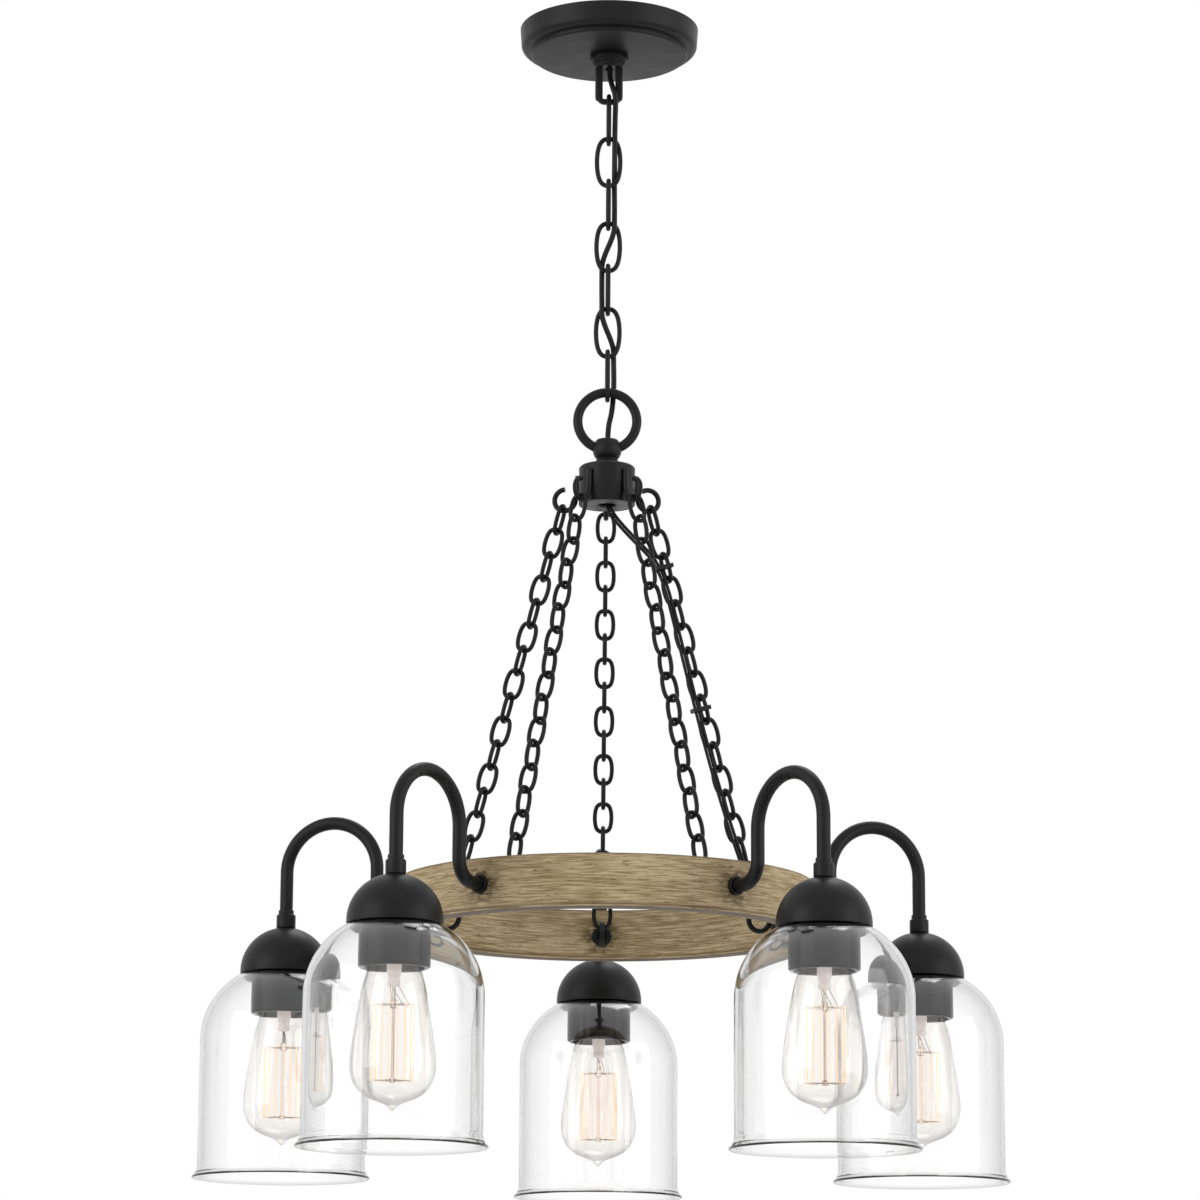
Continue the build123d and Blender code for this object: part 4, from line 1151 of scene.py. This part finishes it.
@dataclass
class Hub:
    """Hanging ring, knob, cup, its plate and the five hooks."""

    ring_r: float = 0.0216
    ring_wire_r: float = 0.0035
    ring_z: float = -0.3013
    ball_r: float = 0.0106
    ball_z: float = -0.3229
    ball_flat: float = 0.0074
    neck_r: float = 0.009
    cup_top: float = -0.3357
    cup_bottom: float = -0.3647
    cup_r: float = 0.0205
    cup_wall: float = 0.002
    cup_roof: float = 0.003
    plate_thick: float = 0.002
    plate_hole_r: float = 0.007
    hook_r: float = 0.008
    hook_wire_r: float = 0.0019
    shank_up: float = 0.0175
    open_end: float = 88.0
    closed_end: float = 124.0

    def hanging_ring(self, tree: GeometryTree) -> None:
        """The thick ring that the chain carries."""
        circle = arc((0.0, self.ring_z), self.ring_r, 0, 360, 96)[:-1]
        seed = wire_seed("carrying_ring", [(x, 0.0, z) for x, z in circle], closed=True)
        piece = tree.grow(seed, BLACK_METAL.material(), Radius=self.ring_wire_r, Sides=28)
        fit(piece, FIXTURE, BLACK_METAL, ["hanging_ring"])

    def knob(self) -> None:
        """Ball that the ring passes through, on its neck."""
        cut = math.degrees(math.asin(self.ball_flat / self.ball_r))
        outline = [(0.0, self.ball_z + self.ball_flat)]
        outline += ellipse(self.ball_z, self.ball_r, self.ball_r, cut, -44, 22)
        outline += [(self.neck_r * 0.86, self.cup_top + 0.0048), (self.neck_r, self.cup_top + 0.0036)]
        outline += [(self.neck_r, self.cup_top), (0.0, self.cup_top)]
        outline = eased(outline, 0.0006, closed=False)
        fit_turned("hub_knob", outline, FIXTURE, BLACK_METAL, "hub_ball", closed=False)

    def cup(self) -> None:
        """Round cup, open below."""
        inner = self.cup_r - self.cup_wall
        chamfer = 0.0014
        outline = [(0.0, self.cup_top), (self.cup_r - chamfer, self.cup_top)]
        outline.append((self.cup_r, self.cup_top - chamfer))
        outline += [(self.cup_r, self.cup_bottom), (inner, self.cup_bottom)]
        outline += [(inner, self.cup_top - self.cup_roof), (0.0, self.cup_top - self.cup_roof)]
        outline = eased(outline, 0.0005, closed=False)
        fit_turned("hub_cup", outline, FIXTURE, BLACK_METAL, "hub_body", sides=96, closed=False)
        disc = block(self.plate_hole_r, inner - 0.00005, self.cup_bottom, self.cup_bottom + self.plate_thick)
        fit_turned("hub_cup_plate", eased(disc, 0.0003), FIXTURE, PLATE_GREY, "hub_plate")

    def hook(self, tree: GeometryTree, light: Light) -> Piece:
        """One hook: a shank on the cup and a curl outwards and down."""
        end = self.closed_end if light is Light.RIGHT else self.open_end
        shank_s = self.cup_r + self.hook_wire_r
        path = [(shank_s, HOOK_Z + self.shank_up), (shank_s, HOOK_Z + 0.0066)]
        path += [(shank_s + 0.0002, HOOK_Z + 0.0040), (shank_s + 0.0008, HOOK_Z + 0.0016)]
        path += arc((HOOK_S, HOOK_Z), self.hook_r, -178, end, 32)
        seed = wire_seed(f"hook_{light.label}", [light.place(s, z) for s, z in path])
        return tree.grow(seed, BLACK_METAL.material(), Radius=self.hook_wire_r, Sides=14)

    def build(self) -> None:
        """Make the hub and everything on it."""
        tree = wire_tree()
        self.hanging_ring(tree)
        self.knob()
        self.cup()
        hooks = joined("hub_wire_hooks", [self.hook(tree, light) for light in Light])
        fit(hooks, FIXTURE, BLACK_METAL, ["hub_hooks"])


@dataclass
class Ring:
    """The wood-look ring with its underside, eye bolts and nuts."""

    inner_r: float = 0.133
    wall: float = 0.004
    top_wall: float = 0.005
    ease: float = 0.0012
    ledge: float = 0.0015
    cover: float = 0.002
    sides: int = 720
    rows: int = 26
    eye_s: float = 0.118
    eye_z: float = -0.663292
    eye_r: float = 0.008
    eye_wire_r: float = 0.0019
    nut_r: float = 0.0074
    nut_thick: float = 0.0046
    stain_reach: float = 0.018

    def outline(self) -> list[Point]:
        """Section of the channel, with close rows up its two faces."""
        rise = [RING_BOTTOM + (RING_TOP - RING_BOTTOM) * i / self.rows for i in range(self.rows + 1)]
        outer = [(RING_R, z) for z in rise]
        inner = [(self.inner_r, z) for z in reversed(rise)]
        roof = RING_TOP - self.top_wall
        floor = RING_BOTTOM + self.cover
        hollow = [(self.inner_r + self.wall, floor), (self.inner_r + self.wall, roof)]
        hollow += [(RING_R - self.wall, roof), (RING_R - self.wall, floor)]
        step_in = [(self.inner_r + self.ledge, RING_BOTTOM), (self.inner_r + self.ledge, floor)]
        step_out = [(RING_R - self.ledge, floor), (RING_R - self.ledge, RING_BOTTOM)]
        return eased(outer + inner + step_in + hollow + step_out, self.ease, 4)

    def stained(self, piece: Piece) -> None:
        """Store how near each point is to an arm or eye hole."""
        mesh = piece.data
        hole = mesh.attributes.new("hole_stain", "FLOAT", "POINT")
        heights = ((RING_R, ARM_Z), (self.inner_r, self.eye_z))
        marks = [light.place(s, z) for light in Light for s, z in heights]
        near = []
        for vertex in mesh.vertices:
            away = min((vertex.co - mark).length for mark in marks)
            near.append(max(0.0, 1.0 - max(away - 0.006, 0.0) / self.stain_reach) ** 1.6)
        hole.data.foreach_set("value", near)

    def band(self) -> None:
        """The ring itself and the flat ring that closes it."""
        band = smoothed(lathe("ring_band", self.outline(), self.sides))
        self.stained(band)
        fit(band, FIXTURE, OAK, ["ring_channel"], smooth=False)
        inner, outer = self.inner_r + self.ledge, RING_R - self.ledge
        flat = block(inner, outer, RING_BOTTOM, RING_BOTTOM + self.cover)
        cover = smoothed(lathe("ring_underside", eased(flat, 0.0003), 360))
        fit(cover, FIXTURE, OAK_UNDERSIDE, ["ring_cover"], smooth=False)

    def eyes(self, wires: GeometryTree, repeat: GeometryTree) -> None:
        """Five eye bolts, their round base nuts and the nuts behind."""
        circle = arc((self.eye_s, self.eye_z), self.eye_r, 0, 360, 48)[:-1]
        eye = wire_seed("eye", [(s, 0.0, z) for s, z in circle], closed=True)
        eye = wires.grow(eye, BLACK_METAL.material(), Radius=self.eye_wire_r, Sides=14)
        ends = [(s, 0, self.eye_z) for s in (self.eye_s + self.eye_r, self.inner_r + 0.0072)]
        stem = wire_seed("stem", ends)
        stem = wires.grow(stem, BLACK_METAL.material(), Radius=self.eye_wire_r, Sides=14)
        bolts = repeat.grow(joined("eye_bolts", [eye, stem]), BLACK_METAL.material())
        fit(bolts, FIXTURE, BLACK_METAL, ["ring_eyes"])
        seat = math.sqrt(self.inner_r**2 - self.nut_r**2)
        bore = self.eye_wire_r + 0.00005
        outline = block(bore, self.nut_r, 0.0, -self.nut_thick)
        base = lathe("base", eased(outline, 0.0016, 5), 40)
        base = across(base, seat, self.eye_z)
        back = across(hex_nut("back", 0.007, 0.0022, bore), self.inner_r + self.wall, self.eye_z)
        nuts = repeat.grow(joined("eye_base_nuts", [base, back]), BLACK_METAL.material())
        fit(nuts, FIXTURE, BLACK_METAL, ["eye_nuts"])

    def build(self) -> None:
        """Make the ring and its fittings."""
        self.band()
        self.eyes(wire_tree(), round_tree())


@dataclass
class Arms:
    """Bent arms, their flanges and the couplings at their ends."""

    radius: float = 0.00475
    start_s: float = 0.1414
    leg_s: float = 0.1735
    bend_r: float = 0.015
    arch_z: float = -0.625542
    arch_r: float = 0.03505
    end_z: float = -0.673315
    flange_r: float = 0.0066
    flange_thick: float = 0.003
    coupling_z: float = -0.666443
    coupling_r: float = 0.007
    coupling_length: float = 0.010
    sleeve_r: float = 0.0056
    sleeve_length: float = 0.003

    def path(self) -> list[Point]:
        """The arm's middle line: out, up, over and down."""
        points = [(self.start_s, ARM_Z)]
        points += arc((self.leg_s - self.bend_r, ARM_Z + self.bend_r), self.bend_r, -90, 0, 16)
        points += arc((self.leg_s + self.arch_r, self.arch_z), self.arch_r, 180, 0, 44)
        points.append((LIGHT_S, self.end_z))
        return points

    def build(self) -> None:
        """Make the arms and what is on them."""
        wires, repeat = wire_tree(), round_tree()
        for light in Light:
            line = [light.place(s, z) for s, z in self.path()]
            seed = wire_seed(f"bent_arm_{light.label}", line)
            piece = wires.grow(seed, BLACK_METAL.material(), Radius=self.radius, Sides=28)
            fit(piece, FIXTURE, BLACK_METAL, [f"arm_{light.label}"])
        bore = self.radius + 0.00005
        outline = eased(block(bore, self.flange_r, -0.0003, self.flange_thick), 0.0009, 4)
        flange = across(lathe("arm_flanges", outline, 48), RING_R, ARM_Z)
        fit(repeat.grow(flange, BLACK_METAL.material()), FIXTURE, BLACK_METAL, ["arm_collars"])
        top, wide = self.coupling_length, self.coupling_r
        end = top + self.sleeve_length
        outline = [(bore, 0.0), (wide, 0.0), (wide, top - 0.001), (wide - 0.001, top)]
        outline += [(self.sleeve_r, top), (self.sleeve_r, end), (bore, end)]
        coupling = lathe("arm_couplings", eased(outline, 0.0004), 56)
        moved(coupling, Matrix.Translation((LIGHT_S, 0, self.coupling_z)))
        fit(repeat.grow(coupling, BLACK_METAL.material()), FIXTURE, BLACK_METAL, ["neck_couplings"])
        dress_node("arm_locknuts", ZINC)


@dataclass
class Lights:
    """Dome caps, bell shades and sockets."""

    cap_r: float = 0.0325
    cap_rise: float = 0.032
    cap_wall: float = 0.0012
    cap_shoulder: float = -0.698092
    cap_lip: float = -0.700092
    arm_r: float = 0.0048
    glass_r: float = 0.0605
    glass_rise: float = 0.056
    glass_wall: float = 0.0025
    glass_hole_r: float = 0.021
    glass_mid: float = -0.748015
    glass_top: float = -0.699123
    rim_r: float = 0.0643
    rim_flare: float = 0.007
    socket_top: float = -0.668315
    socket_r: float = 0.018
    socket_length: float = 0.046
    shell_r: float = 0.0133
    shell_wall: float = 0.0012
    shell_length: float = 0.024
    ring_r: float = 0.02425
    ring_length: float = 0.028
    flange_r: float = 0.0285
    flange_thick: float = 0.0025
    lip_r: float = 0.0205
    lip_length: float = 0.0115

    def around(self, repeat: GeometryTree, piece: Piece, finish: Finish, node: str) -> None:
        """Move a turned piece to the first light's axis, repeat it and fix it."""
        moved(piece, Matrix.Translation((LIGHT_S, 0, 0)))
        fit(repeat.grow(piece, finish.material()), FIXTURE, finish, [node])

    def caps(self, repeat: GeometryTree) -> None:
        """Domed caps with a short straight lip."""
        start = math.degrees(math.acos(self.arm_r / self.cap_r))
        outer = ellipse(self.cap_shoulder, self.cap_r, self.cap_rise, start, 0, 30)
        outer.append((self.cap_r, self.cap_lip))
        wide, high = self.cap_r - self.cap_wall, self.cap_rise - self.cap_wall
        start = math.degrees(math.acos(self.arm_r / wide))
        inner = [(wide, self.cap_lip), *ellipse(self.cap_shoulder, wide, high, 0, start, 30)]
        caps = lathe("dome_caps", eased(outer + inner, 0.0005), 112)
        self.around(repeat, caps, BLACK_METAL, "shade_caps")

    def glass_outline(self) -> list[Point]:
        """Section of a bell shade, round the hole, down outside and up inside."""
        top = math.degrees(math.asin((self.glass_top - self.glass_mid) / self.glass_rise))
        outer = ellipse(self.glass_mid, self.glass_r, self.glass_rise, top, 0, 36)
        flare = RIM_Z + self.rim_flare
        outer += [(self.glass_r, flare + 0.0010), (self.glass_r + 0.0002, flare)]
        outer += [(self.glass_r + 0.0018, RIM_Z + 0.0032), (self.rim_r - 0.0002, RIM_Z + 0.0014)]
        outer += [(self.rim_r, RIM_Z + 0.0007), (self.rim_r - 0.0006, RIM_Z)]
        wall = self.glass_wall
        wide, high = self.glass_r - wall, self.glass_rise - wall
        inner_top = self.glass_top - wall
        angle = math.degrees(math.asin((inner_top - self.glass_mid) / high))
        inner = [(self.rim_r - wall + 0.0004, RIM_Z), (self.rim_r - wall - 0.0002, RIM_Z + 0.0006)]
        inner += [(wide + 0.0012, RIM_Z + 0.0034), (wide, flare + 0.0004)]
        inner += ellipse(self.glass_mid, wide, high, 0, angle, 36)
        hole = [(self.glass_hole_r, inner_top), (self.glass_hole_r, self.glass_top)]
        return eased(outer + inner + hole, 0.0007, 3)

    def shades(self) -> None:
        """Five clear bell shades."""
        for light in Light:
            piece = lathe(f"bell_glass_{light.label}", self.glass_outline(), 128)
            moved(piece, Matrix.Translation(light.place(LIGHT_S, 0)))
            fit(piece, FIXTURE, SHADE_GLASS, [f"glass_shade_{light.label}"])

    def sockets(self, repeat: GeometryTree) -> None:
        """Insulating cups, their copper shells and the rings that clamp the glass."""
        top, low = self.socket_top, self.socket_top - self.socket_length
        bore = self.shell_r + self.shell_wall
        step = top - 0.007
        cup = [(0.0048, top), (0.008, top), (0.008, step), (0.014, step), (self.socket_r, top - 0.011)]
        cup += [(self.socket_r, low), (bore, low), (bore, low + 0.0263), (0.0048, low + 0.0263)]
        cups = lathe("socket_cups", eased(cup, 0.0006), 64)
        self.around(repeat, cups, BLACK_PLASTIC, "socket_bodies")
        shell = [(bore, low)]
        turns = 6
        for i in range(turns * 6 + 1):
            depth = 0.0002 * (1 - math.cos(math.tau * i / 6))
            shell.append((self.shell_r + depth, low + self.shell_length * i / (turns * 6)))
        shell.append((bore, low + self.shell_length))
        self.around(repeat, lathe("socket_screw_shells", shell, 64), COPPER, "socket_shells")
        seat = self.glass_top - self.glass_wall
        end = seat - self.ring_length
        wide = self.socket_r + 0.00005
        ring = [(wide, seat), (self.flange_r, seat), (self.flange_r, seat - self.flange_thick)]
        ring += [(self.ring_r, seat - self.flange_thick - 0.0006), (self.ring_r, end + 0.0012)]
        ring += [(self.ring_r - 0.0012, end), (self.lip_r, end), (self.lip_r, end + self.lip_length)]
        ring += [(wide, end + self.lip_length)]
        rings = lathe("socket_clamp_rings", eased(ring, 0.0006), 96)
        self.around(repeat, rings, GLOSS_BLACK, "socket_rings")

    def build(self) -> None:
        """Make the caps, the glass and the sockets."""
        repeat = round_tree()
        self.caps(repeat)
        self.shades()
        self.sockets(repeat)


@dataclass
class Bulbs:
    """Long clear bulbs with a squirrel-cage filament."""

    top: float = -0.688315
    wall: float = 0.0006
    base_r: float = 0.0132
    base_length: float = 0.026
    rod_r: float = 0.0011
    cage_r: float = 0.014
    cage_top: float = 0.0660
    cage_height: float = 0.0515
    strands: int = 16
    thread_r: float = 0.00028
    support_r: float = 0.00018
    lead_r: float = 0.00022

    def profile(self) -> list[Point]:
        """Outside of the glass from its throat to its tip, as a smooth line."""
        knots = [(0.0116, -0.0220), (0.0118, -0.0262), (0.0134, -0.0315), (0.0164, -0.0385)]
        knots += [(0.0190, -0.0455), (0.0222, -0.0580), (0.0251, -0.0750), (0.0274, -0.0900)]
        knots += [(0.0288, -0.1020), (0.0287, -0.1110), (0.0268, -0.1185), (0.0225, -0.1250)]
        knots += [(0.0160, -0.1295), (0.0090, -0.1322), (0.0052, -0.1338), (0.0030, -0.1354)]
        knots += [(0.0014, -0.1372), (0.0, -0.1380)]
        line: list[Point] = []
        for k in range(len(knots) - 1):
            a, b = Vector(knots[max(k - 1, 0)]), Vector(knots[k])
            c, d = Vector(knots[k + 1]), Vector(knots[min(k + 2, len(knots) - 1)])
            for step in range(4):
                t = step / 4
                square = 2 * a - 5 * b + 4 * c - d
                cube = 3 * b - a - 3 * c + d
                p = 0.5 * (2 * b + (c - a) * t + square * t**2 + cube * t**3)
                line.append((max(p.x, 0.0), p.y))
        line.append(knots[-1])
        return line

    def seat(self, piece: Piece, light: Light, finish: Finish, node: str = "bulb_base") -> None:
        """Put a piece in its socket and fix it to its bulb."""
        moved(piece, Matrix.Translation(light.place(LIGHT_S, self.top)))
        fit(piece, f"bulb_{light.label}", finish, [f"{node}_{light.label}"])

    def envelope(self, light: Light) -> None:
        """The glass of one bulb, with its wall."""
        outer = self.profile()
        inner = []
        for k, (r, z) in enumerate(outer[:-1]):
            before, after = Vector(outer[max(k - 1, 0)]), Vector(outer[k + 1])
            along = (after - before).normalized()
            inner.append((max(r + along.y * self.wall, 0.0), z - along.x * self.wall))
        inner = [p for p in inner if p[0] > 0.0012] + [(0.0, -0.1352)]
        whole = [*outer[::-1], *inner]
        piece = lathe(f"bulb_envelope_{light.label}", whole, 80)
        self.seat(piece, light, BULB_GLASS, "bulb_glass")

    def screw_base(self, light: Light) -> None:
        """Rolled screw shell, insulator and contact."""
        outline = [(0.0, -0.0002), (0.0030, -0.0002), (0.0046, -0.0010), (0.0048, -0.0022)]
        outline += [(0.0085, -0.0030), (0.0118, -0.0046)]
        for i in range(31):
            depth = 0.00035 * (1 - math.cos(math.tau * i / 6))
            outline.append((self.base_r - 0.0001 - depth, -0.0052 - 0.0185 * i / 30))
        outline += [(self.base_r, -0.0245), (self.base_r, -self.base_length), (0.01165, -self.base_length)]
        outline += [(0.01165, -0.0215), (0.0, -0.0215)]
        piece = lathe(f"bulb_screw_base_{light.label}", outline, 64, closed=False)
        self.seat(piece, light, BRASS)

    def stem(self, light: Light) -> None:
        """Pressed glass stem inside the neck, and the rod with its two beads."""
        press = [(0.0, -0.0215), (0.0092, -0.0215), (0.0074, -0.0260), (0.0052, -0.0310)]
        press += [(0.0050, -0.0440), (0.0040, -0.0474), (0.0038, -0.0486), (0.0043, -0.0500)]
        press += [(0.0043, -0.0530), (0.0030, -0.0538), (0.0, -0.0538)]
        high, low = -self.cage_top, -self.cage_top - self.cage_height
        rod = [(0.0, -0.0540), (self.rod_r, -0.0540), (self.rod_r, high + 0.0040), (0.0022, high + 0.0030)]
        rod += [(0.0025, high + 0.0005), (0.0022, high - 0.0020), (self.rod_r, high - 0.0028)]
        rod += [(self.rod_r, low + 0.0020), (0.0022, low + 0.0012), (0.0026, low), (0.0020, low - 0.0014)]
        rod.append((0.0, low - 0.0018))
        for name, outline, finish in (("stem", press, PRESSED_GLASS), ("rod", rod, ROD_GLASS)):
            piece = lathe(f"bulb_{name}_{light.label}", outline, 24, closed=False)
            self.seat(piece, light, finish)

    def cage(self, light: Light, wires: GeometryTree) -> None:
        """One thread that runs down and up round the rod, its lead wires and supports."""
        high, low = -self.cage_top, -self.cage_top - self.cage_height
        thread = []
        for i in range(self.strands):
            angle = math.tau * (i + 0.5) / self.strands
            ends = (high, low) if i % 2 == 0 else (low, high)
            for z in ends:
                thread.append((self.cage_r * math.cos(angle), self.cage_r * math.sin(angle), z))
        seed = wire_seed(f"bulb_filament_{light.label}", thread)
        threads = wires.grow(seed, FILAMENT.material(), Radius=self.thread_r, Sides=6)
        parts = []
        for i in range(self.strands):
            angle = math.tau * (i + 1) / self.strands
            z = low if i % 2 == 0 else high
            cos, sin = math.cos(angle), math.sin(angle)
            spoke = wire_seed("support", [(r * cos, r * sin, z) for r in (0.002, self.cage_r)])
            parts.append(wires.grow(spoke, LEAD_WIRE.material(), Radius=self.support_r, Sides=5))
        for start, end in ((-0.0024, -0.0014), (0.0010, 0.0010), (-0.0018, 0.0062), (0.0032, 0.0104)):
            foot = high + (0.003 if abs(end) < 0.002 else 0.0)
            lead = wire_seed("lead", [(start, 0, -0.0532), (end, 0, foot)])
            parts.append(wires.grow(lead, LEAD_WIRE.material(), Radius=self.lead_r, Sides=6))
        supports = joined(f"bulb_supports_{light.label}", parts)
        turn = Matrix.Rotation(0.35 * light.value, 4, "Z")
        for piece, finish in ((threads, FILAMENT), (supports, LEAD_WIRE)):
            self.seat(moved(piece, turn), light, finish)

    def build(self) -> None:
        """Make the five bulbs."""
        wires = wire_tree()
        for light in Light:
            self.envelope(light)
            self.screw_base(light)
            self.stem(light)
            self.cage(light, wires)


@dataclass
class Studio:
    """Camera, floor, background and lamps."""

    camera_place: Place = (-0.0506, -3.0, -1.0843)
    pitch: float = math.radians(12.206)
    yaw: float = math.radians(0.878)
    roll: float = math.radians(0.313)
    lens: float = 126.9
    floor_z: float = -2.8
    ambient: float = 0.74

    def camera(self) -> None:
        """The camera at the photograph's viewing angle."""
        level_reach = math.cos(self.pitch)
        ahead = Vector(
            (math.sin(self.yaw) * level_reach, math.cos(self.yaw) * level_reach, math.sin(self.pitch))
        )
        right = Vector((math.cos(self.yaw), -math.sin(self.yaw), 0.0))
        up = right.cross(ahead)
        level = right * math.cos(self.roll) + up * math.sin(self.roll)
        upright = up * math.cos(self.roll) - right * math.sin(self.roll)
        data = bpy.data.cameras.new("Camera")
        data.lens = self.lens
        data.sensor_width = 36.0
        data.clip_end = 60.0
        camera = bpy.data.objects.new("Camera", data)
        turn = Matrix((level, upright, -ahead)).transposed()
        camera.matrix_world = Matrix.Translation(self.camera_place) @ turn.to_4x4()
        bpy.context.scene.collection.objects.link(camera)
        bpy.context.scene.camera = camera

    def world(self) -> None:
        """White background for eye and reflections, with a plain level of light."""
        world = bpy.data.worlds.new("Studio")
        world.use_nodes = True
        bpy.context.scene.world = world
        tree = Tree(world.node_tree)
        world.node_tree.nodes.clear()
        path = tree.add("ShaderNodeLightPath").outputs
        seen = tree.math("MAXIMUM", path["Is Camera Ray"], path["Is Glossy Ray"])
        seen = tree.math("MAXIMUM", seen, path["Is Transmission Ray"])
        soft = tree.add("ShaderNodeBackground", {"Color": (1, 1, 1, 1), "Strength": self.ambient})
        white = tree.add("ShaderNodeBackground", {"Color": (1, 1, 1, 1), "Strength": 1.0})
        mix = tree.add("ShaderNodeMixShader", {0: seen, 1: soft.outputs[0], 2: white.outputs[0]})
        tree.add("ShaderNodeOutputWorld", {"Surface": mix.outputs[0]})

    def lamp(self, name: str, place: Place, size: float, power: float) -> None:
        """A square soft lamp that points at the fixture."""
        data = bpy.data.lights.new(name, "AREA")
        data.shape = "SQUARE"
        data.size = size
        data.energy = power
        lamp = bpy.data.objects.new(name, data)
        lamp.location = place
        aim = Vector((0, 0, -0.5)) - Vector(place)
        lamp.rotation_mode = "QUATERNION"
        lamp.rotation_quaternion = aim.to_track_quat("-Z", "Y")
        bpy.context.scene.collection.objects.link(lamp)

    def floor(self) -> None:
        """A wide pale floor well below the fixture."""
        half, steps = 8.0, 4
        row = steps + 1
        places = [half * (2 * i / steps - 1) for i in range(row)]
        points = [(x, y, self.floor_z) for y in places for x in places]
        corners = [j * row + i for j in range(steps) for i in range(steps)]
        faces = [[k, k + 1, k + row + 1, k + row] for k in corners]
        piece = piece_from("studio_floor", points, faces)
        material = bpy.data.materials.new("Pale Floor")
        material.use_nodes = True
        surface = material.node_tree.nodes["Principled BSDF"]
        surface.inputs["Base Color"].default_value = (0.86, 0.86, 0.86, 1)
        surface.inputs["Roughness"].default_value = 0.9
        piece.data.materials.append(material)

    def build(self) -> None:
        """Set up the studio."""
        self.camera()
        self.world()
        self.floor()
        self.lamp("Left Window", (-3.4, -2.2, 0.2), 3.0, 58.0)
        self.lamp("Right Window", (3.4, -1.8, 0.0), 3.0, 46.0)
        self.lamp("Top Window", (0.6, 2.6, 3.6), 2.0, 40.0)
        bpy.context.scene.view_settings.view_transform = "Standard"


def main() -> None:
    """Build the fixture from the ceiling down, then the studio."""
    logging.basicConfig(level=logging.INFO, format="%(name)s: %(message)s")
    for part in (CeilingMount(), Chains(), Cords(), Hub(), Ring(), Arms(), Lights(), Bulbs(), Studio()):
        part.build()
        log.info("%s is done", type(part).__name__)


if __name__ == "__main__":
    main()
